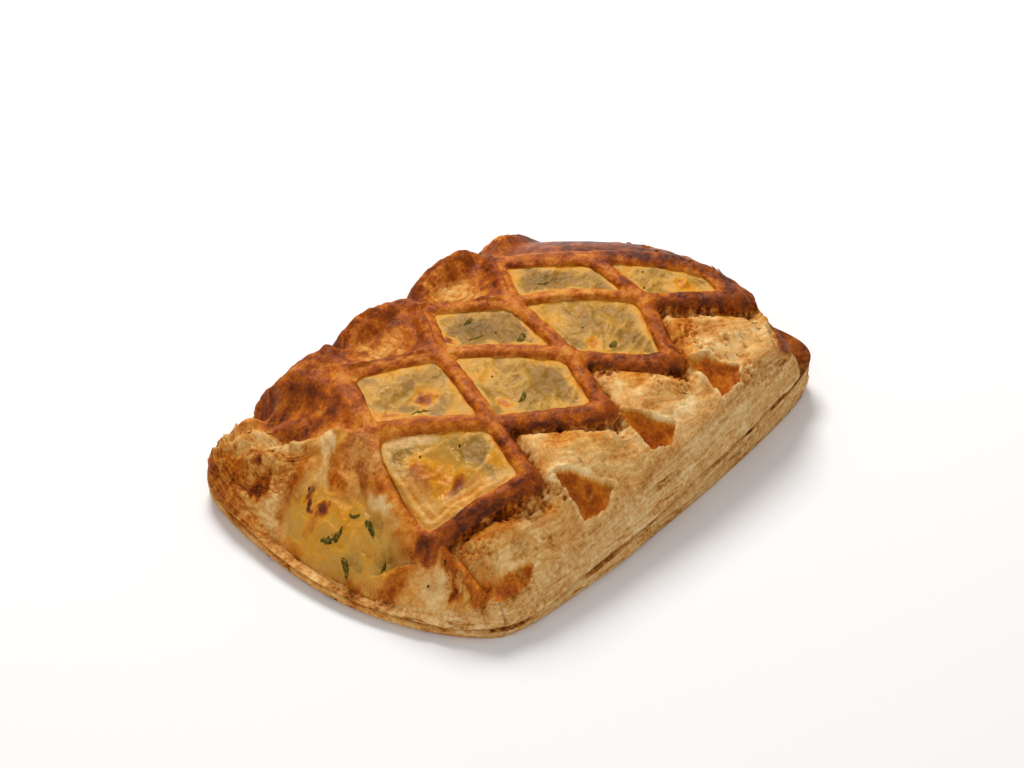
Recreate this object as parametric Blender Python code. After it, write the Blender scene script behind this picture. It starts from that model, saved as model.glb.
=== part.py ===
"""A baked savoury strudel: a lattice-cut puff pastry sheet over a herb filling, on a bottom sheet.

Metres, +Z up. X runs along the strudel (-X is its low rounded front end), -Y is the near long side.
The origin lies on the flat underside, below the middle of the outer box.
Two numbers place a point of the strudel: u along it and v across it, each from -1 to 1 at the rim.
"""
import bpy
import bmesh
import numpy as np
from mathutils import Matrix

MM = 0.001

# Overall form
HALF_LENGTH = 74.5 * MM
HALF_WIDTH = 51.5 * MM
GAP = 0.35 * MM                     # clearance between pieces that touch

# Corners of the bottom outline before rounding: (x, y)
NEAR_FRONT = (-59.0 * MM, -46.7 * MM)
NEAR_END = (74.2 * MM, -49.3 * MM)
FAR_END = (64.0 * MM, 46.5 * MM)
FAR_FRONT = (-64.0 * MM, 55.5 * MM)
BULGE = {"near": 4.2 * MM, "end": 5.5 * MM, "far": -1.5 * MM, "front": 13.5 * MM}
FRONT_SKEW = 0.25                   # the front bulges more towards the near side
CORNER_POWER = 12.0                 # higher makes the corners sharper

# Heights of the rim's top edge at the start, middle and end of each side
RIM_NEAR = (13.0 * MM, 22.0 * MM, 28.5 * MM)
RIM_END = (28.5 * MM, 25.5 * MM, 9.0 * MM)
RIM_FAR = (17.0 * MM, 22.0 * MM, 9.0 * MM)
RIM_FRONT = (13.0 * MM, 5.5 * MM, 17.0 * MM)
END_CORNER_DROP = 10.5 * MM         # how far the top layers sag at the near end corner
LEAN = 4.0 * MM                     # how far the rim's top edge lies inside the outline

# The top between the rims
CREST = 35.5 * MM
CROWN = 4.0 * MM                    # fall from the middle line to the outer lattice rows
CROWN_REACH = 35.0 * MM
CROWN_LINE = 2.0 * MM
RISE_NEAR = 15.0 * MM               # widths over which the top climbs from each rim
RISE_FAR = 11.0 * MM
RISE_FRONT = 46.0 * MM
RISE_END = (12.0 * MM, 17.5 * MM, 57.0 * MM)    # near side, middle and far side
CORNER_RISE = 1.3 * MM              # the outer lattice nodes stand up
CORNER_REACH = 7.0 * MM
PLEAT_RISE = 0.8 * MM               # folds that fan out at the far front corner
PLEAT_TURNS = 17.0

# Height of the seam between the two sheets at the start, middle and end of each side
SEAM_NEAR = (2.8 * MM, 8.5 * MM, 11.5 * MM)
SEAM_END = (11.5 * MM, 9.0 * MM, 4.5 * MM)
SEAM_FAR = (6.0 * MM, 6.5 * MM, 4.5 * MM)
SEAM_FRONT = (2.8 * MM, 3.6 * MM, 6.0 * MM)

# The lattice: node (i, j) exists where i + j is odd
PITCH = 14.8 * MM
SHEAR = -4.5 * MM
FIRST_COLUMN = -18.5 * MM
ROWS = (-32.3 * MM, -14.2 * MM, 11.0 * MM, 29.8 * MM)
ROW_BEYOND = 22.0 * MM
# Nodes that the rising dough pulled out of line: (dx, dy)
PULLED = {
    (-3, 0): (3.5 * MM, -4.5 * MM),
    (-1, 0): (-0.7 * MM, -0.7 * MM),
    (1, 0): (1.2 * MM, 0.3 * MM),
    (3, 0): (-1.4 * MM, -0.7 * MM),
    (5, 0): (0.5 * MM, 1.3 * MM),
    (-2, 1): (-6.4 * MM, -6.8 * MM),
    (0, 1): (-3.5 * MM, -0.8 * MM),
    (2, 1): (0.4 * MM, 1.2 * MM),
    (4, 1): (1.8 * MM, 0.2 * MM),
    (6, 1): (-4.8 * MM, -5.8 * MM),
    (-3, 2): (3.5 * MM, -3.6 * MM),
    (-1, 2): (-3.7 * MM, -1.0 * MM),
    (1, 2): (-0.8 * MM, 2.0 * MM),
    (3, 2): (-1.9 * MM, 1.0 * MM),
    (5, 2): (-3.0 * MM, -2.5 * MM),
    (-2, 3): (7.5 * MM, -2.6 * MM),
    (0, 3): (-2.0 * MM, -0.8 * MM),
    (2, 3): (2.4 * MM, 1.2 * MM),
    (4, 3): (0.8 * MM, -0.8 * MM),
}
STRAND_SPACING = 24.4 * MM          # between opposite strands of a cell
SHEET_DEPTH = 4.6 * MM              # from a strand's top down to the filling

WINDOWS = ((-2, 2), (-1, 1), (0, 2), (1, 1), (2, 2), (3, 1), (4, 2), (5, 1))
NEAR_SLITS = ((-3, 1), (-2, 0), (0, 0), (2, 0), (4, 0))
FAR_SLITS = ((-1, 3), (1, 3), (3, 3))
SLIT_DEPTH = 3.4 * MM               # inside, against the strands
SLIT_SHARE = 0.84
# Depth at the rim, and the distances inside it where a slit starts to deepen and is deepest
NEAR_SLIT = (0.5 * MM, 0.0 * MM, 13.0 * MM)
FAR_SLIT = (-0.8 * MM, 5.5 * MM, 11.0 * MM)
OUTER_NODES = ((-1, 0), (1, 0), (3, 0), (5, 0), (-2, 1))

# Scallops that the far rim puffed up into: place along x, height
LOBES = (
    (-35.0 * MM, 4.0 * MM), (-9.0 * MM, 4.5 * MM), (19.0 * MM, 5.5 * MM), (43.0 * MM, 4.5 * MM),
)
LOBE_REACH = 13.0 * MM
LOBE_SWELL = 0.3                    # outward, as a share of the height
LOBE_INSIDE = 6.5 * MM              # from the far rim in to the lobes' crest

LAYER_DEPTH = 0.75 * MM             # how far a flaky layer stands out of the side
LAYER_WAVE = 0.5 * MM
LAYERED_HEIGHT = 12.0 * MM          # a side lower than this has shallower layers
BASE_LAYERS = 4
SHEET_LAYERS = 8

# The filling's half length and half width, as shares of the top's
FILLING_LENGTH = 0.84
FILLING_WIDTH = 0.70
FILLING_SHIFT = -0.045              # its middle lies nearer the front
FILLING_SWELL = 1.3 * MM            # how far it domes up inside a window
FILLING_EDGE = 2.0 * MM

# Rings of a window's cutter, from its foot up: share of the cell, height over the strands' top
WINDOW_RINGS = (
    (0.68, -SHEET_DEPTH - 1.6 * MM), (0.70, -SHEET_DEPTH + 0.8 * MM), (0.77, -1.7 * MM),
    (0.82, -0.5 * MM), (0.87, 0.6 * MM), (0.92, 4.0 * MM),
)

HERB_SIZE = (4.0 * MM, 1.3 * MM, 0.8 * MM)
HERBS_A_WINDOW = 2
HERB_SPREAD = 0.30
HERB_SEED = 11


def soften(u, v, power):
    """Pulls the corners of the u, v square in, so that its outline is rounded."""
    share = 1.0 / (power + 3.0)
    return (u * (1 - share * np.abs(v) ** power * u * u),
            v * (1 - share * np.abs(u) ** power * v * v))


def outline_place(u, v):
    """Plan position of (u, v) when the rim is the bottom outline."""
    a, b = soften(u, v, CORNER_POWER)
    s, t = (a + 1) / 2, (b + 1) / 2
    place = [
        (1 - s) * (1 - t) * NEAR_FRONT[k] + s * (1 - t) * NEAR_END[k]
        + s * t * FAR_END[k] + (1 - s) * t * FAR_FRONT[k]
        for k in (0, 1)
    ]
    front = BULGE["front"] * (1 - FRONT_SKEW * b)
    x = place[0] + (1 - b * b) * (BULGE["end"] * s - front * (1 - s))
    y = place[1] + (1 - a * a) * (BULGE["far"] * t - BULGE["near"] * (1 - t))
    return x, y


def shrunk(u, v, distance):
    """(u, v) moved inwards by a distance at the rim."""
    return u * (1 - distance / HALF_LENGTH), v * (1 - distance / HALF_WIDTH)


def along_side(t, values):
    """A smooth curve through the values at t = -1, 0 and 1."""
    start, middle, end = values
    return middle + (end - start) / 2 * t + ((start + end) / 2 - middle) * t * t


def spread(u, v, near, end, far, front):
    """A smooth surface through the heights given along the four sides."""
    s, t = (u + 1) / 2, (v + 1) / 2
    sides = (
        (1 - t) * along_side(u, near) + t * along_side(u, far)
        + (1 - s) * along_side(v, front) + s * along_side(v, end)
    )
    corners = (
        (1 - s) * (1 - t) * near[0] + s * (1 - t) * near[2]
        + s * t * far[2] + (1 - s) * t * far[0]
    )
    return sides - corners


def bump(distance, reach):
    """1 in the middle, falling smoothly to 0 at the reach."""
    return np.clip(1 - (distance / reach) ** 2, 0, 1) ** 2


def rise(distance, reach):
    """0 at the rim, levelling out at 1."""
    return 1 - np.clip(1 - distance / reach, 0, 1) ** 2


def rim_height(u, v):
    corner = np.clip((u - 0.72) / 0.28, 0, 1) ** 2 * np.clip((-v - 0.2) / 0.5, 0, 1)
    return spread(u, v, RIM_NEAR, RIM_END, RIM_FAR, RIM_FRONT) - END_CORNER_DROP * corner


def seam_height(u, v):
    return spread(u, v, SEAM_NEAR, SEAM_END, SEAM_FAR, SEAM_FRONT)


def rim_distances(u, v):
    """How far inside the near, far, front and end rims (u, v) lies."""
    width, length = HALF_WIDTH - LEAN, HALF_LENGTH - LEAN
    return (1 + v) * width, (1 - v) * width, (1 + u) * length, (1 - u) * length


def lobe_height(x):
    """Height of the scallops at x along the far rim."""
    return sum(height * bump(x - middle, LOBE_REACH) ** 0.4 for middle, height in LOBES)


def node_place(i, j):
    """Plan position of lattice node (i, j)."""
    if j < 0:
        row = ROWS[0] - ROW_BEYOND
    elif j >= len(ROWS):
        row = ROWS[-1] + ROW_BEYOND
    else:
        row = ROWS[j]
    dx, dy = PULLED.get((i, j), (0.0, 0.0))
    return np.array((FIRST_COLUMN + PITCH * i + SHEAR * j + dx, row + dy))


def top_surface(u, v):
    """The strudel's top over its strands, as x, y, z."""
    x, y = outline_place(*shrunk(u, v, LEAN))
    from_near, from_far, from_front, from_end = rim_distances(u, v)
    low = rim_height(u, v)
    high = CREST - CROWN * ((y - CROWN_LINE) / CROWN_REACH) ** 2
    front = rise(from_front, RISE_FRONT)
    end = rise(from_end, along_side(v, RISE_END))
    z = low + (high - low) * rise(from_near, RISE_NEAR) * rise(from_far, RISE_FAR) * front * end
    z = z + lobe_height(x) * bump(from_far - LOBE_INSIDE, LOBE_INSIDE) * front
    for i, j in OUTER_NODES:
        node = node_place(i, j)
        z = z + CORNER_RISE * bump(np.hypot(x - node[0], y - node[1]), CORNER_REACH)
    fan = np.arctan2(y - FAR_FRONT[1], x - FAR_FRONT[0])
    folded = np.clip(-u - 0.45, 0, 0.3) / 0.3 * np.clip(v - 0.35, 0, 0.3) / 0.3
    z = z + PLEAT_RISE * folded * np.sin(PLEAT_TURNS * fan)
    y = y + LOBE_SWELL * lobe_height(x) * rise(np.clip(1 - from_far / LOBE_INSIDE, 0, 1), 1.0)
    return x, y, z


def locate(x, y):
    """The (u, v) whose top surface lies over the plan point (x, y)."""
    u, v = x / HALF_LENGTH, y / HALF_WIDTH
    for _ in range(25):
        at_x, at_y, _height = top_surface(u, v)
        u = u + (x - at_x) / HALF_LENGTH
        v = v + (y - at_y) / HALF_WIDTH
    return u, v


def top_over(x, y):
    return top_surface(*locate(x, y))[2]


def cell_place(i, j, a, b):
    """Plan position inside the cell centred on (i, j); a and b run from -1 to 1 between strands."""
    low, right, high, left = (
        node_place(i, j - 1), node_place(i + 1, j), node_place(i, j + 1), node_place(i - 1, j)
    )
    a, b = a[:, None], b[:, None]
    return (
        (1 - a) * (1 - b) * low + (1 + a) * (1 - b) * right
        + (1 + a) * (1 + b) * high + (1 - a) * (1 + b) * left
    ) / 4


def filling_top(x, y):
    """Height of the filling, which domes up a little inside each window."""
    swell = 0.0
    for i, j in WINDOWS:
        middle = cell_place(i, j, np.zeros(1), np.zeros(1))[0]
        swell = swell + bump(np.hypot((x - middle[0]) * 1.3, y - middle[1]), STRAND_SPACING / 2)
    return top_over(x, y) - SHEET_DEPTH + FILLING_SWELL * np.clip(swell, 0, 1)


def gridded_box(counts):
    """A closed box from -1 to 1 each way, with counts strips along x, y and z."""
    box = bmesh.new()
    bmesh.ops.create_cube(box, size=2.0)
    for axis, count in enumerate(counts):
        along = [
            edge for edge in box.edges
            if abs(edge.verts[0].co[axis] - edge.verts[1].co[axis]) > 1.5
        ]
        bmesh.ops.subdivide_edges(box, edges=along, cuts=count - 1, use_grid_fill=True)
    return box


def shaped(name, counts, shape, collection):
    """A gridded box whose points shape(u, v, w) puts in place."""
    box = gridded_box(counts)
    unit = np.array([vert.co for vert in box.verts])
    for vert, place in zip(box.verts, shape(*unit.T)):
        vert.co = place
    bmesh.ops.triangulate(box, faces=box.faces, quad_method="FIXED")
    bmesh.ops.recalc_face_normals(box, faces=box.faces)
    mesh = bpy.data.meshes.new(name)
    box.to_mesh(mesh)
    box.free()
    obj = bpy.data.objects.new(name, mesh)
    collection.objects.link(obj)
    return obj


def layered_side(u, v, level, layers, floor, roof):
    """Height and outward step on a side whose flaky layers step in and out; level is 0 at its foot."""
    around = np.arctan2(v, u)
    relief = np.clip((roof - floor) / LAYERED_HEIGHT, 0.0, 1.0)
    wave = np.sin(around * 9 + level * 5) + 0.6 * np.sin(around * 23 + level * 11)
    height = floor + (roof - floor) * level + LAYER_WAVE * relief * wave * 4 * level * (1 - level)
    step = np.where(np.round(level * layers) % 2 == 1, LAYER_DEPTH, -LAYER_DEPTH) * relief
    step = step * (1 + 0.4 * np.sin(around * 14 + level * 17))
    return height, step * np.sin(np.pi * np.clip(level, 0, 1)) ** 0.5


def on_the_side(u, v):
    return np.maximum(np.abs(u), np.abs(v)) > 0.999


def base_shape(u, v, w):
    """The bottom sheet: flat below, its side flaky, its top the seam surface."""
    level = (w + 1) / 2
    side = on_the_side(u, v)
    roof = seam_height(u, v)
    height, step = layered_side(u, v, level, BASE_LAYERS, 0.0, roof)
    tucked_in = 0.8 * MM * (1 - level) ** 2
    inset = 0.3 * MM + np.where(side, tucked_in - step, 0.0)
    x, y = outline_place(*shrunk(u, v, inset))
    foot = side & (level < 0.001)
    z = np.where(side & ~foot, height, roof * level) + np.where(foot, 0.5 * MM, 0.0)
    return np.stack((x, y, z), 1)


def end_setback(u, v):
    """How much further in the top sheet stops than the bottom one, at the near end corner."""
    return 6.0 * MM * np.clip((u - 0.8) / 0.2, 0, 1) * np.clip(0.3 - v, 0, 1)


def sheet_shape(u, v, w):
    """The lattice sheet before it is cut: a puffed side round a domed top."""
    level = (w + 1) / 2
    side = on_the_side(u, v)
    top_x, top_y, top_z = top_surface(u, v)
    floor = seam_height(u, v) + GAP
    height, step = layered_side(u, v, level, SHEET_LAYERS, floor, top_z)
    inset = 0.4 * MM + (LEAN - 0.4 * MM) * level ** 1.7 - step
    low_x, low_y = outline_place(*shrunk(u, v, inset))
    swell = np.where(side, (top_y - outline_place(*shrunk(u, v, LEAN))[1]) * level, 0.0)
    blend = np.where(side, 0.0, level)
    x = low_x * (1 - blend) + top_x * blend - end_setback(u, v)
    y = (low_y + swell) * (1 - blend) + top_y * blend
    z = np.where(side, height, floor + (top_z - floor) * level)
    return np.stack((x, y, z), 1)


def filling_shape(grow):
    """Shape of the filling; grow widens it on every side, and deepens it so that it cuts through."""
    def shape(u, v, w):
        level = (w + 1) / 2
        a, b = soften(u, v, 6.0)
        along = a * FILLING_LENGTH + FILLING_SHIFT + u * grow / HALF_LENGTH
        across = b * FILLING_WIDTH + v * grow / HALF_WIDTH
        x, y, _height = top_surface(along, across)
        edge = np.clip((np.maximum(np.abs(u), np.abs(v)) - 0.9) / 0.1, 0, 1)
        roof = filling_top(x, y) - FILLING_EDGE * edge + grow
        floor = seam_height(along, across) + 2 * GAP - 5 * grow
        return np.stack((x, y, floor + (roof - floor) * level), 1)
    return shape


def window_shape(i, j):
    """A flared diamond that opens cell (i, j) down to the filling."""
    shares = np.array([ring[0] for ring in WINDOW_RINGS])
    heights = np.array([ring[1] for ring in WINDOW_RINGS])

    def shape(u, v, w):
        ring = np.round((w + 1) / 2 * (len(WINDOW_RINGS) - 1)).astype(int)
        a, b = soften(u, v, 4.5)
        place = cell_place(i, j, a * shares[ring], b * shares[ring])
        z = top_over(*place.T) + heights[ring]
        return np.stack((place[:, 0], place[:, 1], z), 1)
    return shape


def slit_shape(i, j):
    """A scoop out of cell (i, j), which opened at the rim; it is deepest against its inner strands."""
    lip, start, full = FAR_SLIT if (i, j) in FAR_SLITS else NEAR_SLIT

    def shape(u, v, w):
        a, b = soften(u, v, 5.0)
        share = SLIT_SHARE + 0.05 * (w + 1) / 2
        place = cell_place(i, j, a * share, b * share)
        inside = np.minimum.reduce(rim_distances(*locate(*place.T)))
        depth = lip + (SLIT_DEPTH - lip) * rise(np.clip(inside - start, 0, None), full - start)
        z = top_over(*place.T) + np.where(w < 0, -depth, 5.0 * MM)
        return np.stack((place[:, 0], place[:, 1], z), 1)
    return shape


def material(name, colour, roughness):
    made = bpy.data.materials.new(name)
    made.use_nodes = True
    shader = made.node_tree.nodes["Principled BSDF"]
    shader.inputs["Base Color"].default_value = (*colour, 1.0)
    shader.inputs["Roughness"].default_value = roughness
    shader.inputs["Metallic"].default_value = 0.0
    return made


def new_collection(name):
    collection = bpy.data.collections.new(name)
    bpy.context.scene.collection.children.link(collection)
    return collection


def cut(obj, tools, operation="DIFFERENCE"):
    """Applies one Boolean with a whole collection, then clears that collection."""
    modifier = obj.modifiers.new("cut", "BOOLEAN")
    modifier.operation = operation
    modifier.operand_type = "COLLECTION"
    modifier.collection = tools
    modifier.solver = "EXACT"
    bpy.context.view_layer.update()
    evaluated = obj.evaluated_get(bpy.context.evaluated_depsgraph_get())
    mesh = bpy.data.meshes.new_from_object(evaluated)
    obj.modifiers.clear()
    obj.data = mesh
    for tool in list(tools.objects):
        bpy.data.objects.remove(tool)
    bpy.data.collections.remove(tools)


def add_herbs(collection):
    """Flat herb flakes lying on the filling, spread in every window by a seeded draw."""
    draw = np.random.default_rng(HERB_SEED)
    for i, j in WINDOWS:
        for number in range(HERBS_A_WINDOW):
            spot = draw.uniform(-HERB_SPREAD, HERB_SPREAD, 2)
            place = cell_place(i, j, spot[:1], spot[1:])[0]
            height = filling_top(place[:1], place[1:])[0]
            flake = shaped(f"herb_{i}_{j}_{number}", (1, 1, 1),
                           lambda u, v, w: np.stack((u, v, w), 1) / 2, collection)
            flake.scale = HERB_SIZE
            flake.rotation_euler = (0.0, 0.0, draw.uniform(0, np.pi))
            flake.location = (place[0], place[1], height + 0.1 * MM)


def finish(obj, name, colour, roughness):
    obj.data.materials.clear()
    obj.data.materials.append(material(name, colour, roughness))
    obj.data.shade_smooth()
    obj.data.set_sharp_from_angle(angle=np.radians(30))


def centre(objects):
    """Moves the meshes so that the middle of their outer box lies over the origin."""
    points = np.array([vert.co for obj in objects for vert in obj.data.vertices])
    low, high = points.min(axis=0), points.max(axis=0)
    shift = Matrix.Translation((-(low[0] + high[0]) / 2, -(low[1] + high[1]) / 2, -low[2]))
    for obj in objects:
        obj.data.transform(shift)


def build():
    for obj in list(bpy.data.objects):
        bpy.data.objects.remove(obj)
    strudel = new_collection("savoury_strudel")

    base = shaped("base_sheet", (24, 16, BASE_LAYERS), base_shape, strudel)
    finish(base, "baked base", (0.62, 0.42, 0.22), 0.75)

    filling = shaped("filling", (22, 14, 3), filling_shape(0.0), strudel)
    herbs = new_collection("herbs")
    add_herbs(herbs)
    cut(filling, herbs, "UNION")
    finish(filling, "baked filling", (0.72, 0.58, 0.28), 0.35)

    sheet = shaped("lattice_sheet", (36, 26, SHEET_LAYERS), sheet_shape, strudel)
    cavity = new_collection("cavity")
    shaped("cavity", (22, 14, 3), filling_shape(GAP), cavity)
    cut(sheet, cavity)
    windows = new_collection("windows")
    for i, j in WINDOWS:
        shaped(f"window_{i}_{j}", (4, 4, len(WINDOW_RINGS) - 1), window_shape(i, j), windows)
    cut(sheet, windows)
    slits = new_collection("slits")
    for i, j in NEAR_SLITS + FAR_SLITS:
        shaped(f"slit_{i}_{j}", (6, 6, 1), slit_shape(i, j), slits)
    cut(sheet, slits)
    finish(sheet, "glazed crust", (0.50, 0.22, 0.07), 0.45)
    centre((base, filling, sheet))


build()
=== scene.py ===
"""Looks of a baked savoury strudel: its lattice crust, flaky sides, filling, herbs, light and camera.

Shapes are worked out in millimetres, in the frame of the CAD part before it was centred on its box.
Two numbers place a point of the strudel: u along it and v across it, each from -1 to 1 at the rim.
"""
import math
import bpy
import numpy as np
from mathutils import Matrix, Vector


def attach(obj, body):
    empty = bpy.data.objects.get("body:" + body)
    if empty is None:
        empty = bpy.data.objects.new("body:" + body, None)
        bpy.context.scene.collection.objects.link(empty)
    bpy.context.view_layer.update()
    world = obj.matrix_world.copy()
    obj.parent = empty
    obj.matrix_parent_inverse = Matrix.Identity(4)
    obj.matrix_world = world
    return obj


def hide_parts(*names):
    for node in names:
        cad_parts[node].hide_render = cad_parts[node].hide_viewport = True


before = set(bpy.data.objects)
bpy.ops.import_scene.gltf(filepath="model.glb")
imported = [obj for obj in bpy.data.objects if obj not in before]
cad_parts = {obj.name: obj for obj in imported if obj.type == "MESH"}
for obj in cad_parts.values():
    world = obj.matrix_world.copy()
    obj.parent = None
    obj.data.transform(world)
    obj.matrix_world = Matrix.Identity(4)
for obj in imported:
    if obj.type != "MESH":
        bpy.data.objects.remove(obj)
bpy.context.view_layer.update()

MM = 0.001
CENTRING = np.array((-0.64, -0.59, 0.0))        # moves these shapes onto the centred CAD part

# ---- Overall form, in mm: the CAD part's own driving sizes ----
HALF_LENGTH = 74.5
HALF_WIDTH = 51.5
NEAR_FRONT = (-59.0, -46.7)
NEAR_END = (74.2, -49.3)
FAR_END = (64.0, 46.5)
FAR_FRONT = (-64.0, 55.5)
BULGE = {"near": 4.2, "end": 5.5, "far": -1.5, "front": 13.5}
FRONT_SKEW = 0.25
CORNER_POWER = 12.0
RIM_NEAR = (13.0, 22.0, 28.5)
RIM_END = (28.5, 25.5, 9.0)
RIM_FAR = (17.0, 22.0, 9.0)
RIM_FRONT = (13.0, 5.5, 17.0)
END_CORNER_DROP = 10.5
LEAN = 4.0
CREST = 35.5
CROWN = 4.0
CROWN_REACH = 35.0
CROWN_LINE = 2.0
RISE_NEAR = 15.0
RISE_FAR = 11.0
RISE_FRONT = 46.0
RISE_END = (12.0, 17.5, 57.0)
CORNER_RISE = 1.3
CORNER_REACH = 7.0
PLEAT_RISE = 0.8
PLEAT_TURNS = 17.0
SEAM_NEAR = (2.8, 8.5, 11.5)
SEAM_END = (11.5, 9.0, 4.5)
SEAM_FAR = (6.0, 6.5, 4.5)
SEAM_FRONT = (2.8, 3.6, 6.0)
LOBES = ((-35.0, 4.0), (-9.0, 4.5), (19.0, 5.5), (43.0, 4.5))
LOBE_REACH = 13.0
LOBE_SWELL = 0.3
LOBE_INSIDE = 6.5

# ---- The lattice: node (i, j) exists where i + j is odd, cell (i, j) where it is even ----
PITCH = 14.8
SHEAR = -4.5
FIRST_COLUMN = -18.5
ROWS = (-32.3, -14.2, 11.0, 29.8)
ROW_BEYOND = 22.0
PULLED = {
    (-3, 0): (3.5, -4.5), (-1, 0): (-0.7, -0.7), (1, 0): (1.2, 0.3), (3, 0): (-1.4, -0.7),
    (5, 0): (0.5, 1.3), (-2, 1): (-6.4, -6.8), (0, 1): (-3.5, -0.8), (2, 1): (0.4, 1.2),
    (4, 1): (1.8, 0.2), (6, 1): (-4.8, -5.8), (-3, 2): (3.5, -3.6), (-1, 2): (-3.7, -1.0),
    (1, 2): (-0.8, 2.0), (3, 2): (-1.9, 1.0), (5, 2): (-3.0, -2.5), (-2, 3): (7.5, -2.6),
    (0, 3): (-2.0, -0.8), (2, 3): (2.4, 1.2), (4, 3): (0.8, -0.8),
}
HALF_SPACING = 12.2                 # from a strand's middle to the middle of a cell
WINDOWS = ((-1, 1), (0, 2), (1, 1), (2, 2), (3, 1), (4, 2), (5, 1))
NEAR_SLITS = ((-3, 1), (-2, 0), (0, 0), (2, 0), (4, 0))
FAR_SLITS = ((-1, 3), (1, 3), (3, 3))
OUTER_NODES = ((-1, 0), (1, 0), (3, 0), (5, 0), (-2, 1))

# Strands from node to node: first, last, sideways bow, half width at each end, bake, height share
STRANDS = (
    ((-2, 1), (-1, 0), 0.0, 2.2, 2.6, 0.90, 1.0),
    ((-1, 0), (0, 1), 0.0, 2.3, 2.2, 0.84, 1.0),
    ((0, 1), (-1, 2), 0.0, 2.4, 2.8, 0.66, 1.0),
    ((-2, 1), (-1, 2), 3.4, 2.4, 3.4, 0.60, 1.0),
    ((-1, 2), (0, 3), 0.0, 3.2, 3.4, 0.74, 1.0),
    ((0, 3), (1, 2), 0.0, 3.2, 2.8, 0.74, 1.0),
    ((0, 1), (1, 2), 0.0, 2.3, 2.4, 0.74, 1.0),
    ((0, 1), (1, 0), -0.5, 2.7, 3.3, 0.84, 1.0),
    ((1, 2), (2, 1), 1.0, 2.5, 2.5, 0.68, 1.0),
    ((1, 0), (2, 1), 0.0, 2.5, 2.3, 0.84, 1.0),
    ((2, 1), (3, 0), -1.5, 2.5, 3.1, 0.84, 1.0),
    ((2, 1), (3, 2), 0.0, 2.3, 2.3, 0.74, 1.0),
    ((1, 2), (2, 3), 0.0, 2.8, 3.0, 0.68, 1.0),
    ((2, 3), (3, 2), 0.0, 3.0, 2.6, 0.68, 1.0),
    ((3, 2), (4, 3), 0.0, 2.5, 2.9, 0.74, 1.0),
    ((3, 2), (4, 1), 2.4, 2.2, 1.7, 0.56, 0.6),
    ((4, 1), (5, 2), 0.0, 2.3, 2.4, 0.76, 1.0),
    ((4, 3), (5, 2), 0.0, 3.2, 3.4, 0.74, 1.0),
    ((5, 2), (6, 1), 1.5, 3.0, 3.4, 0.76, 1.0),
    ((3, 0), (4, 1), 0.0, 2.5, 2.3, 0.84, 1.0),
    ((4, 1), (5, 0), 0.4, 2.4, 3.1, 0.84, 1.0),
    ((5, 0), (6, 1), 0.0, 3.2, 3.4, 0.80, 1.0),
    ((-2, 1), (-3, 0), 0.8, 1.6, 1.5, 0.70, 0.8),
    ((-1, 2), (-2, 3), 1.0, 2.2, 1.2, 0.62, 0.5),
)
STRAND_DROP = 1.3                   # from a strand's crest down to its edges
WINDOW_DEPTH = 5.4                  # crust below the filling's top, out of sight
FILLING_DEPTH = 2.6                 # from a strand's top down to the filling

# Glazed uncut dough between the near cuts, as corners in plan
GLAZED = (
    ((-59.0, -37.0), (-53.0, -38.6), (-44.5, -43.0), (-50.0, -44.8), (-58.0, -42.5)),
    ((-28.5, -34.6), (-24.5, -36.6), (-15.5, -44.6), (-21.0, -46.4), (-28.3, -45.4)),
    ((-0.9, -34.2), (2.8, -35.6), (10.6, -44.4), (5.4, -47.0), (-1.0, -45.2)),
    ((27.6, -34.4), (33.2, -37.6), (38.2, -44.4), (35.0, -47.4), (27.0, -47.2)),
)
GLAZED_DROP = 1.5
FACE_NOTCH = 2.3                    # how far the cut faces fall away under the strands
POCKET_DEPTH = 2.4

# The wide opening at the front, where the filling runs to the rim, as corners in plan
FRONT_OPENING = (
    (-64.5, 20.5), (-60.5, 19.0), (-58.0, 14.0), (-59.5, 7.0), (-56.5, 2.0), (-58.0, -5.0),
    (-60.5, -12.0), (-63.5, -16.5), (-67.0, -14.5), (-69.4, -7.0), (-70.6, 2.0), (-70.2, 12.0),
    (-68.0, 18.0),
)

TOP_GRID = (344, 240)               # strips along and across the top
WALL_ROWS = 54
BASE_ROWS = 36
FILLING_GRID = (300, 170)


# ---- Small tools ----
def smooth(low, high, value):
    """0 below low, 1 above high, smooth between."""
    t = np.clip((value - low) / (high - low), 0.0, 1.0)
    return t * t * (3 - 2 * t)


def bump(distance, reach):
    """1 in the middle, falling smoothly to 0 at the reach."""
    return np.clip(1 - (distance / reach) ** 2, 0, 1) ** 2


def rise(distance, reach):
    """0 at the rim, levelling out at 1."""
    return 1 - np.clip(1 - distance / reach, 0, 1) ** 2


def blend(first, second, share):
    return first + (second - first) * share


def spot(x, y, at, reach, turn=0.0):
    """1 at the middle of a soft turned ellipse, 0 outside it."""
    angle = math.radians(turn)
    dx, dy = x - at[0], y - at[1]
    along = dx * math.cos(angle) + dy * math.sin(angle)
    across = dy * math.cos(angle) - dx * math.sin(angle)
    return bump(np.hypot(along / reach[0], across / reach[1]), 1.0)


def swell_height(x, y, swells):
    """Height at plan points of swells and hollows, each x, y, reach along, across, turn, height."""
    return sum(height * spot(x, y, (at_x, at_y), (reach_a, reach_b), turn)
               for at_x, at_y, reach_a, reach_b, turn, height in swells)


def flat_points(a, b):
    """Points (a, b, 0), for noise that changes in two directions."""
    return np.stack((a, b, np.zeros(len(a))), 1)


noise_draw = np.random.default_rng(4)
NOISE_TABLE = noise_draw.permutation(256)
NOISE_SLOPES = noise_draw.normal(size=(256, 3))
NOISE_SLOPES /= np.linalg.norm(NOISE_SLOPES, axis=1)[:, None]


def noise_pick(at):
    pick = NOISE_TABLE[at[:, 0] & 255]
    pick = NOISE_TABLE[(pick + at[:, 1]) & 255]
    return NOISE_TABLE[(pick + at[:, 2]) & 255]


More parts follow.
